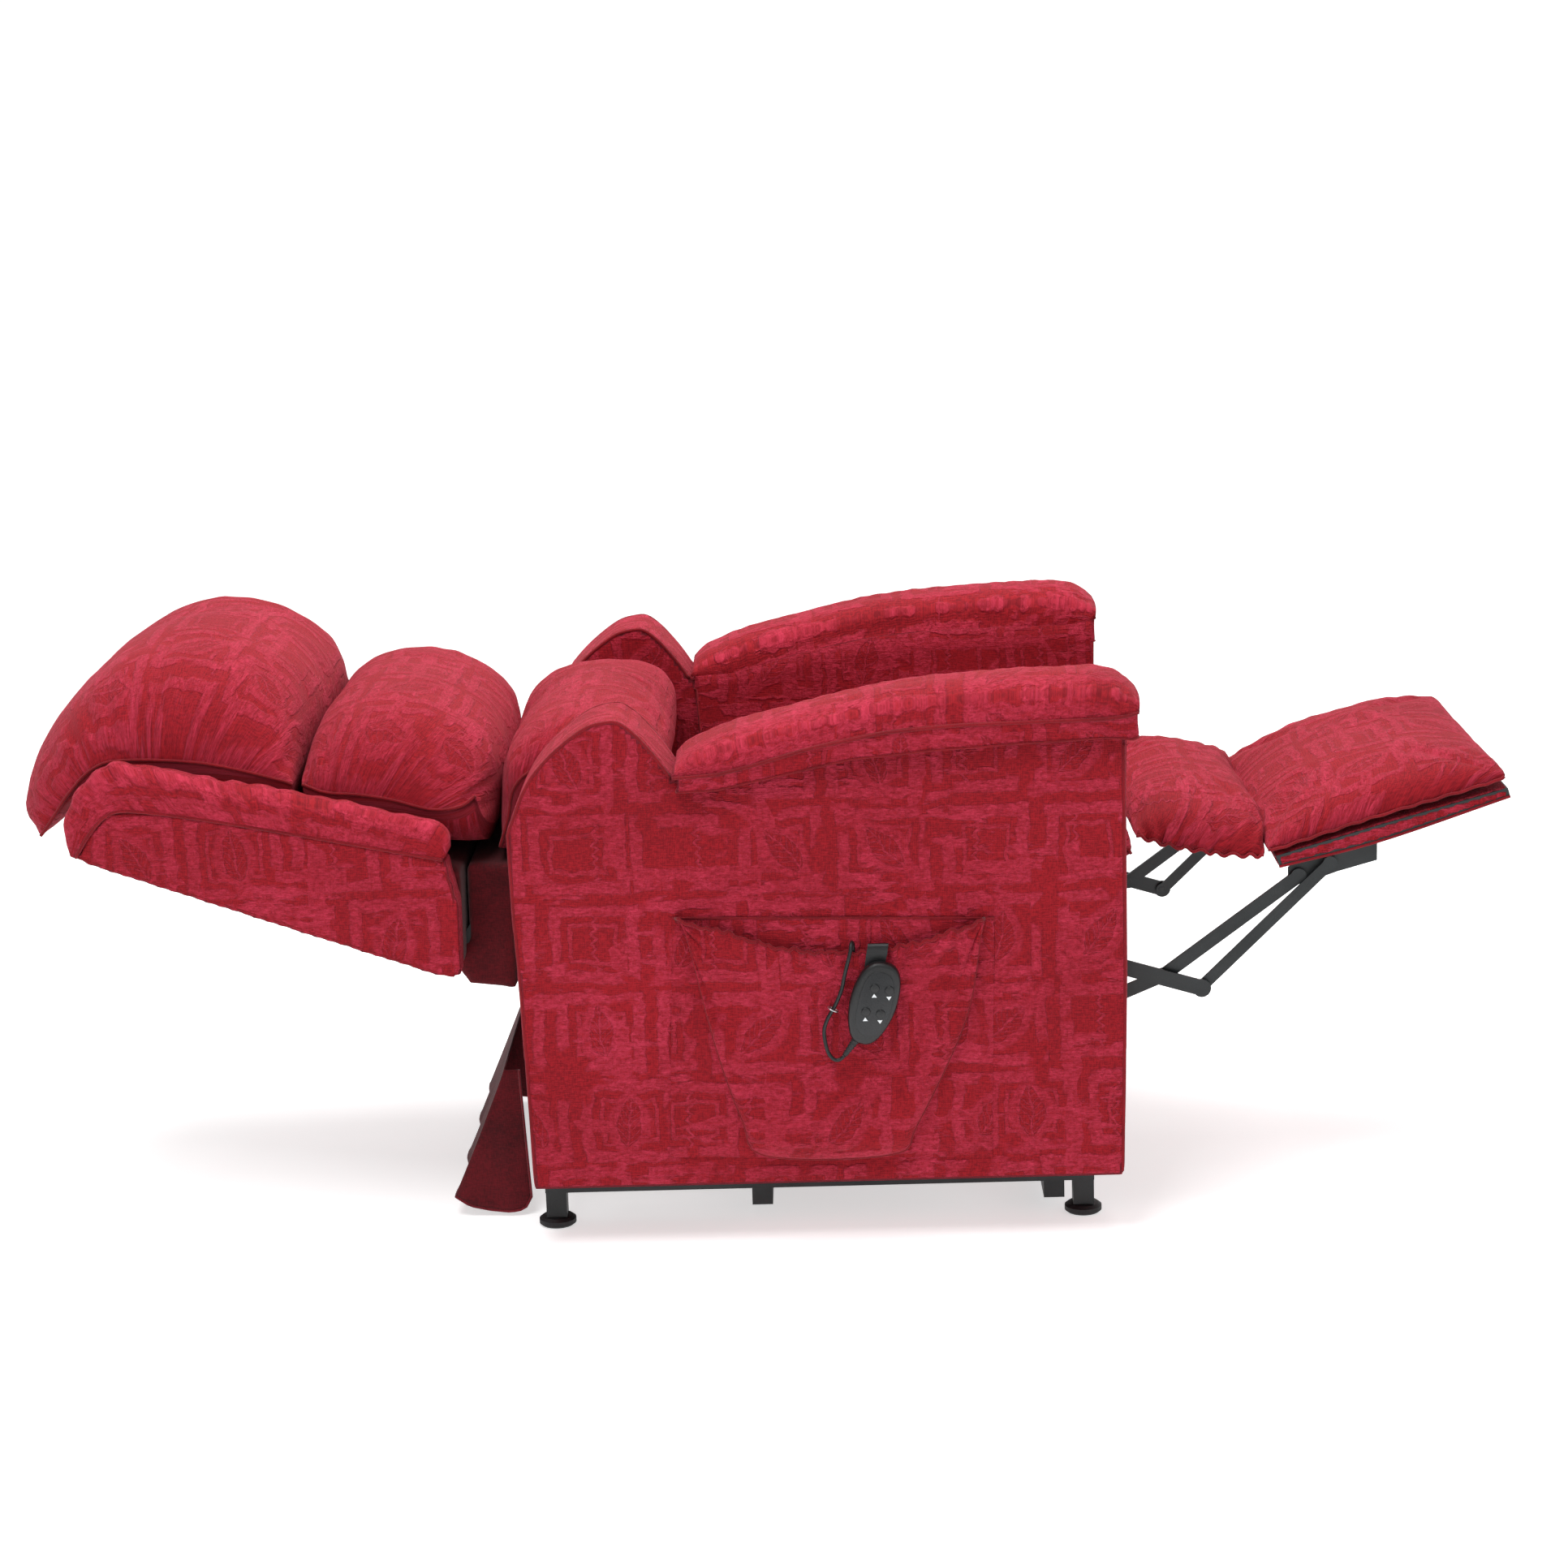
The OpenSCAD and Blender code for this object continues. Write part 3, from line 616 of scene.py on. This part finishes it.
for k, (x, z) in enumerate(BT):
    ring = [(x + 5.4 * math.cos(a), z + 5.4 * math.sin(a)) for a in np.linspace(0, 2 * math.pi, 28, endpoint=False)]
    b = rounded_solid(f"handset_key_{k + 1}", ring, -401.7, -395.5, 1.3, ("button_up", "button_down", "button_back", "button_legs")[k], PLASTIC, (f"button_{k + 1}",), 3)
    up = k in (0, 2)
    s_ = 1 if up else -1
    tri = [(x - 1, z - 9.2 + 2.6 * s_), (x - 4.0, z - 9.2 - 1.8 * s_), (x + 2.0, z - 9.2 - 1.8 * s_)]
    make(f"handset_arrow_{k + 1}", [(p[0] * MM, -400.9 * MM, p[1] * MM) for p in tri] + [(p[0] * MM, -400.2 * MM, p[1] * MM) for p in tri], [(0, 1, 2), (5, 4, 3), (0, 3, 4, 1), (1, 4, 5, 2), (2, 5, 3, 0)], "chassis", WHITE, False)
# strap over the pocket's rim
sp = [(0, -382.8, 298), (0, -382.6, 330), (1, -382.6, 352), (2.5, -382.6, 366), (3.4, -381.6, 372.0), (3.6, -379.0, 374.0), (3.4, -376.4, 371.5), (2.6, -376.0, 355), (1.2, -376.0, 330), (0, -376, 312)]
sp = resample(sp, 60)
sv, sf = [], []
for i, p in enumerate(sp):
    a = sp[max(i - 1, 0)]
    b = sp[min(i + 1, len(sp) - 1)]
    t = (b - a)[1:]
    t = t / np.linalg.norm(t)
    nn = np.array([-t[1], t[0]])
    x0, x1 = 119 + p[0] + max(0, p[2] - 330) * 0.06, 143 + p[0] + max(0, p[2] - 330) * 0.06
    for (xx, q) in ((x0, 0.8), (x1, 0.8), (x1, -0.8), (x0, -0.8)):
        sv.append((xx * MM, (p[1] + nn[0] * q) * MM, (p[2] + nn[1] * q) * MM))
for i in range(len(sp) - 1):
    for k in range(4):
        sf.append((i * 4 + k, i * 4 + (k + 1) % 4, (i + 1) * 4 + (k + 1) % 4, (i + 1) * 4 + k))
sf += [(3, 2, 1, 0), tuple(4 * (len(sp) - 1) + k for k in range(4))]
strap = make("handset_hanger", sv, sf, "chassis", PLASTIC, False, None, ("handset_strap",))
fix_normals(strap)
# strain relief: ribbed taper
A_, D_ = np.array([108.2, 0, 262.5]), np.array([math.sin(math.radians(216)), 0, math.cos(math.radians(216))])
U_ = np.array([D_[2], 0, -D_[0]])
rv, rf = [], []
st_ = [(-2.0, 4.6), (0, 4.9)] + [(1.5 + k * 1.0, (4.8 - k * 0.085) if (k % 4) < 2 else (4.1 - k * 0.075)) for k in range(19)] + [(21.6, 3.0), (22.0, 2.5)]
for (s, r) in st_:
    for k in range(20):
        a = 2 * math.pi * k / 20
        c = A_ + D_ * s + r * (math.cos(a) * U_ + math.sin(a) * np.array([0, 1, 0]))
        rv.append((c[0] * MM, (c[1] - 391.5) * MM, c[2] * MM))
for i in range(len(st_) - 1):
    for k in range(20):
        rf.append((i * 20 + k, i * 20 + (k + 1) % 20, (i + 1) * 20 + (k + 1) % 20, (i + 1) * 20 + k))
rf += [tuple(range(20))[::-1], tuple((len(st_) - 1) * 20 + k for k in range(20))]
relief = make("handset_relief", rv, rf, "chassis", RUBBER, True, None, ("handset_strain_relief",))
fix_normals(relief)
# bright clip ring on the cord
rc = np.array([83.0, -386.5, 299.0])
ring = tube("cord_clip_ring", [(rc + np.array([6.3 * math.cos(a) * 0.9, 6.3 * math.sin(a), -6.3 * math.cos(a) * 0.42])) * MM for a in np.linspace(0, 2 * math.pi, 40, endpoint=False)], 0.9 * MM, "chassis", BRIGHT, True, 8)
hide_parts("cord_ring")

# ------------------------------------------------------------------ arms
EAR = [(-278, 96), (-284, 311), (-288, 394), (-291, 501), (-291, 512), (-283, 532), (-273, 557), (-259, 581), (-238, 604), (-214, 624), (-192, 638), (-173, 643), (-156, 643), (-138, 630), (-120, 610), (-107, 593), (-96, 576)]
TOP = [(-88, 566), (-44, 568), (34, 585), (111, 601), (208, 609), (304, 615), (428, 622)]
SIDE = [(-277, 78)] + EAR + TOP + [(428, 336), (423, 78)]
SEAM = [(-95, 577), (-79, 578), (-43, 580), (-4, 589), (65, 608), (150, 624), (227, 630), (324, 632), (400, 633), (428, 636), (441, 640)]
TOPC = [(-93, 586), (-82, 600), (-60, 611), (-25, 624), (54, 643), (153, 664), (270, 675), (348, 678), (395, 678.5), (424, 671), (444, 655)]
for s, side in ((-1, "right"), (1, "left")):
    lo, hi = (-363, -247.2) if s < 0 else (247.2, 363)
    c = slab_cover(f"arm_cover_{side}", SIDE, lo, hi, "chassis", ("arm_inner_panels", "arm_outer_panels", "arm_front_boards", "arm_ear_wraps", "arm_top_rails") if s < 0 else (), 6.0, 5, 0.6, seed=2 + s, wob=1.1)
    for k, yy in ((1, s * 360.2), (2, s * 250.0)):
        welt(f"ear_welt_{side}_{k}", [(p[0] + (-185 - p[0]) * 3.2 / math.hypot(p[0] + 185, p[1] - 480), p[1] + (480 - p[1]) * 3.2 / math.hypot(p[0] + 185, p[1] - 480)) if p[1] > 480 else (p[0] + 3.4, p[1]) for p in EAR], yy, "chassis", 2.2)
        welt(f"front_welt_{side}_{k}", [(419.5, 84), (422.6, 200), (424.2, 336), (424.4, 480), (424.4, 600)], yy, "chassis", 2.2)
    # arm pad: crowned roll over a seam, with a loose hem band below it
    pad, it, ib = pillow(f"arm_pad_{side}", "chassis", SEAM, TOPC, [(x, z - 5) for x, z in SEAM], s * 311 - 69, s * 311 + 69, 96, 60, power=3.0, ripple=1.6, wave=26, seed=7 + s, replaces=("arm_pads",) if s < 0 else (),
                         cloth=0.006, pressure=3.0, pat_off=(0.2, 0.05), wob=2.2, uv=1, endpow=2.3, ends=(s < 0, s > 0))
    # hem band under the pad
    HEM = [(-95, 560), (-44, 562), (34, 578), (111, 594), (208, 602), (304, 607), (400, 611), (441, 609)]
    hemx, hemz = [p[0] for p in HEM], [p[1] for p in HEM]
    smx, smz = [p[0] for p in SEAM], [p[1] for p in SEAM]
    yo, yi = s * 381.0, s * 241.0
    plan = []
    xs = np.linspace(-88, 432, 120)
    plan += [(x, yo) for x in xs]
    plan += [(432 + 9 * math.sin(a), yo - s * 9 * (1 - math.cos(a))) for a in np.linspace(0, math.pi / 2, 8)[1:]]
    plan += [(441, y) for y in np.linspace(yo - s * 9, yi + s * 9, 34)[1:]]
    plan += [(441 - 9 * (1 - math.cos(a)), yi + s * 9 * (1 - math.sin(a))) for a in np.linspace(0, math.pi / 2, 8)[1:]]
    plan += [(x, yi) for x in xs[::-1][1:]]
    plan += [(-91, y) for y in np.linspace(yi + s * 4, yo - s * 4, 28)]
    plan = np.array(plan)
    arc = np.r_[0, np.cumsum(np.linalg.norm(np.diff(plan, axis=0), axis=1))]
    M_, K_ = len(plan), 7
    ctr = np.array([170, s * 311.0])
    hv, hf, hp = [], [], []
    for i in range(M_):
        x, y = plan[i]
        tg = plan[(i + 1) % M_] - plan[i - 1]
        nn = np.array([tg[1], -tg[0]]) / max(np.linalg.norm(tg), 1e-6)
        if nn @ (plan[i] - ctr) < 0:
            nn = -nn
        zt, zb = np.interp(x, smx, smz), np.interp(x, hemx, hemz)
        if abs(y) < 250 and -84 < x < 436:
            zb = 478.0
        front = 1.0 if x > 425 else 0.0
        inner_side = 1.0 if abs(y) < 260 else 0.0
        g = math.sin(arc[i] / (5.2 if front else 17) + 2 * fbm(arc[i] * 0.01, 3.0 + s)) * (2.0 if front else 0.8) + fbm(arc[i] * 0.012, s) * 1.6
        for k in range(K_):
            q = k / (K_ - 1)
            off = -1.0 - 2.6 * math.sin(math.pi * min(q * 1.15, 1)) * 0.7 + g * (0.25 + 0.75 * math.sin(math.pi * min(1, q * 0.9)))
            off = min(off, 1.2)
            if inner_side:
                off *= 0.4
            z = zt + (zb - zt) * q + (g * 0.5 if front else 0) * q
            hv.append(((x + nn[0] * off) * MM, (y + nn[1] * off) * MM, z * MM))
            hp.append((arc[i] * MM, z * MM, 11.0))
    for i in range(M_):
        for k in range(K_ - 1):
            a, b = i * K_ + k, ((i + 1) % M_) * K_ + k
            hf.append((a, b, b + 1, a + 1))
    hem = make(f"arm_pad_hem_{side}", hv, hf, "chassis", FAB, True, hp)
    fix_normals(hem)
    sol = hem.modifiers.new("thickness", "SOLIDIFY")
    sol.thickness, sol.offset = 0.0016, -1
    tube(f"arm_pad_welt_{side}", [hv[i * K_] for i in range(M_) if not (abs(plan[i][1]) < 250 and -84 < plan[i][0] < 430)][: 160], 2.1 * MM, "chassis", PIPING)
    tube(f"arm_pad_hem_fold_{side}", [hv[i * K_ + K_ - 1] for i in range(M_)], 1.3 * MM, "chassis", PIPING, True)

# ------------------------------------------------------------------ seat
seat, it, ib = pillow("seat_cushion_cover", "chassis", [(-73, 438), (60, 446), (200, 452), (330, 454), (430, 448), (443, 440)], [(-74, 441), (-70, 454), (-45, 465), (60, 473), (200, 482), (330, 487), (412, 484), (437, 472), (446, 455), (444, 438)],
                      [(-72, 420), (60, 417.5), (200, 417.5), (330, 417.5), (400, 418), (438, 428)], -243, 243, 80, 72, power=9, ripple=1.5, wave=40, seed=21, replaces=("seat_cushion",), cloth=0.009, wob=3.0, uv=0, endpow=2.6)

# ------------------------------------------------------------------ back
BSIDE = [(-806, 493), (-786, 479), (-568, 400), (-384, 334), (-355, 331), (-353, 418), (-366, 476), (-506, 505), (-638, 531), (-731, 545), (-760, 540), (-781, 518), (-795, 491)]
for s, side in ((-1, "right"), (1, "left")):
    lo, hi = (-325, -284) if s < 0 else (284, 325)
    slab_cover(f"back_side_cover_{side}", BSIDE, lo, hi, "back", ("back_side_panels",) if s < 0 else (), 5.0, 3, 1.2, seed=12 + s, wob=1.4)
    welt(f"back_edge_welt_{side}", [(-800, 493), (-784, 484.5), (-567, 405.5), (-384, 339.5), (-361, 337)], s * 323.0, "back", 2.1)
    welt(f"back_front_welt_{side}", [(-361, 337), (-358.5, 418), (-371, 472)], s * 323.0, "back", 2.1, n=40)
    bol, it, ib = pillow(f"side_roll_{side}", "back", [(-799, 489), (-783, 514), (-761, 537), (-731, 543), (-638, 529), (-506, 503), (-369, 475)], [(-808, 491), (-814, 512), (-812, 533), (-797, 565), (-765, 594), (-741, 600), (-646, 587), (-561, 570), (-458, 543), (-378, 519), (-362, 505), (-361, 486)],
                         [(-797, 487), (-780, 511), (-760, 533), (-731, 540), (-638, 526), (-506, 500), (-371, 473)], s * 304.5 - 22.5, s * 304.5 + 22.5, 96, 40, power=2.3, ripple=1.8, wave=34, seed=31 + s, replaces=("back_bolsters",) if s < 0 else (),
                         cloth=0.010, pressure=3.5, pat_off=(0.1, 0.3), wob=2.4, uv=1, endpow=2.4)
slab_cover("back_rear_cover", [(-386, 335), (-356, 333), (-354, 449), (-560, 483), (-798, 521), (-803, 494), (-786, 480), (-568, 401)], -283.5, 283.5, "back", ("back_rear_panel", "back_foam_deck"), 7.0, 3, 1.0, mat=LINING_PAINTED_SHADE, seed=40, wob=1.2)
head, it, ib = pillow("head_pillow", "back", [(-849, 506), (-842, 514), (-830, 531), (-812, 556), (-783, 584), (-746, 594), (-651, 588), (-566, 567), (-547, 560)],
                      [(-851, 500), (-870, 500), (-888, 520), (-888, 548), (-866, 597), (-818, 656), (-757, 703), (-693, 718), (-633, 711), (-587, 688), (-552, 655), (-541, 612), (-544, 570)],
                      [(-847, 506), (-838, 508), (-824, 520), (-803, 533), (-700, 517), (-546, 492)], -280, 280, 84, 84, power=4.2, ripple=4.2, wave=38, seed=51, replaces=("back_pillows",), cloth=0.016, pressure=4.5, wob=4.0, uv=0, endpow=1.9)
mid, it, ib = pillow("middle_pillow", "back", [(-536, 560), (-509, 549), (-471, 545), (-433, 538), (-386, 525), (-352, 527), (-332, 540)],
                     [(-538, 572), (-535, 600), (-521, 620), (-496, 636), (-456, 645), (-406, 641), (-358, 621), (-322, 590), (-313, 565), (-315, 520), (-319, 480)],
                     [(-540, 492), (-480, 480), (-430, 471), (-386, 464), (-352, 460), (-325, 459)], -279, 279, 72, 80, power=4.6, ripple=4.0, wave=36, seed=57, cloth=0.010, pressure=4.5, wob=3.4, uv=0, endpow=1.9)
lum, it, ib = pillow("lumbar_cushion", "back", [(-311, 466), (-300, 500), (-292, 535), (-272, 556), (-236, 566), (-174, 566), (-140, 552), (-124, 528), (-128, 504)],
                     [(-312, 460), (-309, 500), (-306, 553), (-301, 578), (-277, 600), (-236, 615), (-174, 618), (-137, 609), (-119, 592), (-110, 566), (-124, 512)],
                     [(-308, 456), (-270, 450), (-220, 449), (-180, 449), (-153, 450), (-140, 475)], -231, 231, 72, 72, power=7, ripple=2.2, wave=38, seed=63, cloth=0.008, pressure=4.0, wob=3.0, uv=0, endpow=2.2)
# painted shade: this skirt panel is the crimson cloth in shadow, given the darkened lining colour
slab_cover("back_lower_lining", [(-351, 449), (-292, 446), (-297, 292), (-354, 300), (-380, 338), (-352, 352)], -243.5, 243.5, "back", ("back_skirt",), 6.0, 4, 0.6, mat=LINING_PAINTED_SHADE, seed=44, wob=3.0)

# ------------------------------------------------------------------ legrest
slab_cover("footrest_board_cover", [(614.5, 431.5), (620, 416.5), (740, 445.5), (895.5, 496), (892.5, 508.5), (740, 467.2)], -238, 238, "footrest", (), 4.5, 2, 0.3, seed=70, wob=0.5)
fpad, it, ib = pillow("footrest_cushion", "footrest", [(607, 439), (618, 440), (680, 459), (740, 477), (812, 497), (878, 516), (887, 521)],
                      [(605, 441), (603, 452), (612, 466), (650, 486), (708, 509), (765, 525), (815, 535), (860, 538), (883, 532), (889, 522)],
                      [(610, 438), (680, 457), (740, 474.5), (812, 495), (876, 514)], -236, 236, 72, 72, power=9, ripple=1.8, wave=34, seed=71, replaces=("footrest_pad",), cloth=0.010, pressure=3.5, wob=2.6, uv=0, endpow=2.6, scallop=0.8)
welt("footrest_board_welt_right", [(620, 418), (740, 446.5), (894, 497)], -237.6, "footrest", 1.7)
welt("footrest_board_welt_left", [(620, 418), (740, 446.5), (894, 497)], 237.6, "footrest", 1.7)
calf, it, ib = pillow("calf_cushion", "calf", [(450, 460), (470, 453), (489, 447), (546, 435), (590, 431.5), (602, 432)], [(447, 462), (452, 480), (468, 493), (500, 498), (540, 494), (580, 486), (606, 477), (611, 462), (606, 440)],
                      [(452, 456), (489, 446), (546, 434), (600, 431)], -235, 235, 110, 76, power=6, ripple=3.6, wave=27, seed=75, replaces=("calf_pad",), cloth=0.010, pressure=3.5, wob=2.6, uv=0, endpow=2.3, scallop=2.3)
for piece in (calf, bpy.data.objects["calf_cushion_welt_1"], bpy.data.objects["calf_cushion_welt_2"]):
    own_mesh(piece)

# ------------------------------------------------------------------ rear valance: one hung sheet with two side wings
VT, VR = 187.0, 18
rows, cols = 30, []
for q in np.linspace(0, 1, 14):
    cols.append(("w", -1, q))
for q in np.linspace(-1, 1, 60)[1:-1]:
    cols.append(("r", q, 0))
for q in np.linspace(1, 0, 14):
    cols.append(("w", 1, q))
vv_, vf_, vp_ = [], [], []
BOT = [(-386, 26), (-368, 14), (-345, 8), (-323, 5.5), (-308, 7), (-298, 12), (-293, 24)]
for ci, (kind, a, q) in enumerate(cols):
    for r in range(rows):
        v = r / (rows - 1)
        if kind == "r":
            x, y = -319 - 67 * v ** 1.05, a * 230.5
            z = VT - (VT - 26) * v
            x += 7.0 * v * (0.5 + 0.5 * math.sin(a * 9 + 1.0)) * (1 - abs(a) ** 4) + 2.0 * v * abs(fbm(a * 2.5, v * 1.4))
            x = max(x, -387.5)
        else:
            xb = -386 + (93) * (1 - q)
            zb = float(np.interp(xb, [p[0] for p in BOT], [p[1] for p in BOT]))
            xt = -319 + 18 * (1 - q)
            x = xt + (xb - xt) * v ** 1.05
            z = VT - (VT - zb) * v
            y = a * (230.5 - 2.2 * abs(math.sin(q * 5 + v * 2)) * v)
        vv_.append((x * MM, y * MM, z * MM))
        vp_.append((ci * 0.012, z * MM, 5.0))
for c in range(len(cols) - 1):
    for r in range(rows - 1):
        a = c * rows + r
        vf_.append((a, a + 1, a + rows + 1, a + rows))
# the hung sheet takes the lining colour, which holds painted shade for the shadow under the seat
val = make("rear_valance_cloth", vv_, vf_, "chassis", LINING_PAINTED_SHADE, True, vp_, ("rear_valance",))
fix_normals(val)
so = val.modifiers.new("thickness", "SOLIDIFY")
so.thickness, so.offset = 0.0014, 0
hemline = [vv_[c * rows + rows - 1] for c in range(len(cols))]
# hem and edge tubes take the lining's lighter copy as painted highlight
vh = tube("rear_valance_hem", hemline, 1.7 * MM, "chassis", LINING_LIT)
e1 = tube("rear_valance_edge_right", [vv_[r] for r in range(rows)], 1.5 * MM, "chassis", LINING_LIT)
e2 = tube("rear_valance_edge_left", [vv_[(len(cols) - 1) * rows + r] for r in range(rows)], 1.5 * MM, "chassis", LINING_LIT)
slab_cover("rear_panel_cover", [(-277.5, 99), (-264, 99), (-264, 281), (-277.5, 281)], -246.5, 246.5, "chassis", ("rear_panel",), 5.0, 2, 0.4, mat=LINING_PAINTED_SHADE, seed=47, wob=0.6)

# ------------------------------------------------------------------ pocket
pk = [(-101, 408), (-114, 116), (266, 106), (273, 398)]
back = rounded_solid("pocket_back_panel", pk, -365.2, -363.4, 0.7, "chassis", FAB, ("pocket_backing",), 2)
set_pat(back, np.array([(v.co.x, v.co.z, 17.0) for v in back.data.vertices]))
gx, gz = 40, 30
bv, bf, bp = [], [], []
BAGO = [(-97, 407), (-52, 396), (4, 377), (60, 366), (117, 364), (172, 371), (220, 385), (261, 398)]
BAGB = [(-97, 405), (-85, 388), (-56, 256), (-27, 161), (0, 116), (148, 114), (178, 150), (237, 277), (256, 378), (261, 396)]
gx, gz = 90, 44
top_ = resample([(x, 0, z) for x, z in BAGO], gx)[:, [0, 2]]
bot_ = resample([(x, 0, z) for x, z in BAGB], gx)[:, [0, 2]]
blen = 372.0
bv, bf, bp = [], [], []
for i in range(gx):
    u = i / (gx - 1)
    for k in range(gz):
        v = k / (gz - 1)
        c = top_[i] * (1 - v) + bot_[i] * v
        edge = min(u / 0.06, (1 - u) / 0.06, (1 - v) / 0.10, 1.0)
        dep = 14.3 * math.sqrt(max(0.0, 1 - (1 - max(0, edge)) ** 2))
        pl = (math.sin(u * 150 + 2.2 * fbm(u * 9, 2.0)) * 1.7 + fbm(u * 30, v * 2.5) * 1.6) * math.exp(-v * 9) + 0.9 * math.sin(u * 52 + 3 * fbm(u * 4, 6.0)) * math.exp(-v * 3.2)
        low = min(1.0, max(0.0, (232 - c[1]) / 45.0))
        fold = abs(fbm(u * 3.2 + v * 1.5, v * 1.1 + 3)) * 13.0 * min(1, edge)
        y = -365.6 - dep + pl * 1.5 * min(1, edge) + fold - 9.0 * low * low * math.sin(math.pi * min(1, max(0, u))) * min(1, edge)
        y = min(max(y, -381.4 - 8.0 * low), -366.0)
        bv.append(((c[0]) * MM, y * MM, (c[1] + pl * 0.7 * (1 - v)) * MM))
        bp.append((c[0] * MM, c[1] * MM, 8.0))
for i in range(gx - 1):
    for k in range(gz - 1):
        a = i * gz + k
        bf.append((a, a + 1, a + gz + 1, a + gz))
bag = make("pocket_bag_cloth", bv, bf, "chassis", FAB, True, bp, ("pocket_bag",))
fix_normals(bag)
bs = bag.modifiers.new("thickness", "SOLIDIFY")
bs.thickness, bs.offset = 0.0014, 0
rim = tube("pocket_elastic_rim", [(bv[i * gz][0], bv[i * gz][1] + 0.0003, bv[i * gz][2]) for i in range(gx)], 2.2 * MM, "chassis", PIPING)
bedge = tube("pocket_seam", [(b[0] * MM, -366.3 * MM, b[1] * MM) for b in bot_], 1.7 * MM, "chassis", PIPING)
welt("pocket_back_edge", [(-101, 408), (-30, 406), (90, 403), (273, 398)], -365.2, "chassis", 1.3, n=60)

# ------------------------------------------------------------------ looks of the CAD pieces that stay
for nodes, m in ((("base_side_rails", "base_cross_tubes", "base_legs", "chassis_cross_front", "chassis_cross_rear", "back_cross_rails"), BLACKSTEEL),
                 (("lift_arms_rear", "lift_torsion_tube", "lift_crank", "lift_arms_front", "hanger_plates", "seat_side_plates", "back_hinge_plates", "back_crank", "legrest_main_links", "legrest_control_links", "legrest_upper_links", "legrest_stay_links", "footrest", "lift_actuator_lug"), LINKSTEEL),
                 (("lift_arm_pins", "lift_actuator_rod", "back_actuator_rod", "seat_springs"), BRIGHT),
                 (("glide_feet", "cord_grommet"), RUBBER),
                 (("transformer_box", "mains_inlet", "lift_actuator_body", "back_actuator_body"), PLASTIC),
                 (("seat_rail_front", "seat_rail_rear"), WOOD)):
    for n in nodes:
        for i in range(len(N[n].data.materials)):
            N[n].data.materials[i] = m
        if not N[n].data.materials:
            N[n].data.materials.append(m)

# ------------------------------------------------------------------ ground and light
sweep = [(y, 0.0) for y in np.linspace(-9, 4.0, 14)] + [(4.0 + 4.0 * math.sin(a), 4.0 - 4.0 * math.cos(a)) for a in np.linspace(0, math.pi / 2, 24)[1:]] + [(8.0, z) for z in np.linspace(4.0, 12.0, 6)[1:]]
gme = bpy.data.meshes.new("studio_floor")
gme.from_pydata([(x, y, z - 0.0006) for (y, z) in sweep for x in (-14, 14)], [], [(2 * k, 2 * k + 1, 2 * k + 3, 2 * k + 2) for k in range(len(sweep) - 1)])
gme.polygons.foreach_set("use_smooth", [True] * len(gme.polygons))
ground = bpy.data.objects.new("studio_floor", gme)
bpy.context.collection.objects.link(ground)
ground.name = "studio_floor"
GM, gnode = bpy.data.materials.new("studio_floor_paint"), None
GM.use_nodes = True
gb = GM.node_tree.nodes["Principled BSDF"]
gb.inputs["Base Color"].default_value = (0.8, 0.8, 0.8, 1)
gb.inputs["Emission Color"].default_value = (1, 1, 1, 1)
gb.inputs["Emission Strength"].default_value = 0.58
gb.inputs["Specular IOR Level"].default_value = 0.0
gb.inputs["Roughness"].default_value = 0.85
ground.data.materials.append(GM)
scene = bpy.context.scene
w = bpy.data.worlds.new("studio") if scene.world is None else scene.world
scene.world = w
w.use_nodes = True
bg = next(n for n in w.node_tree.nodes if n.type == "BACKGROUND")
bg.inputs["Color"].default_value = (1, 1, 1, 1)
bg.inputs["Strength"].default_value = 0.36
for nm, loc, rot, sz, e in (("key", (-0.8, -2.2, 3.6), (31, 0, -18), 1.4, 74), ("fill", (2.8, -3.2, 1.9), (62, 0, 40), 2.6, 16), ("top", (0.1, 0.5, 3.2), (-8, 0, 0), 2.2, 92)):
    L = bpy.data.lights.new(nm, "AREA")
    L.energy, L.size = e, sz
    o = bpy.data.objects.new(nm, L)
    bpy.context.collection.objects.link(o)
    o.location = loc
    o.rotation_euler = tuple(math.radians(a) for a in rot)
scene.view_settings.view_transform = "Standard"

# ------------------------------------------------------------------ update
bpy.context.view_layer.update()
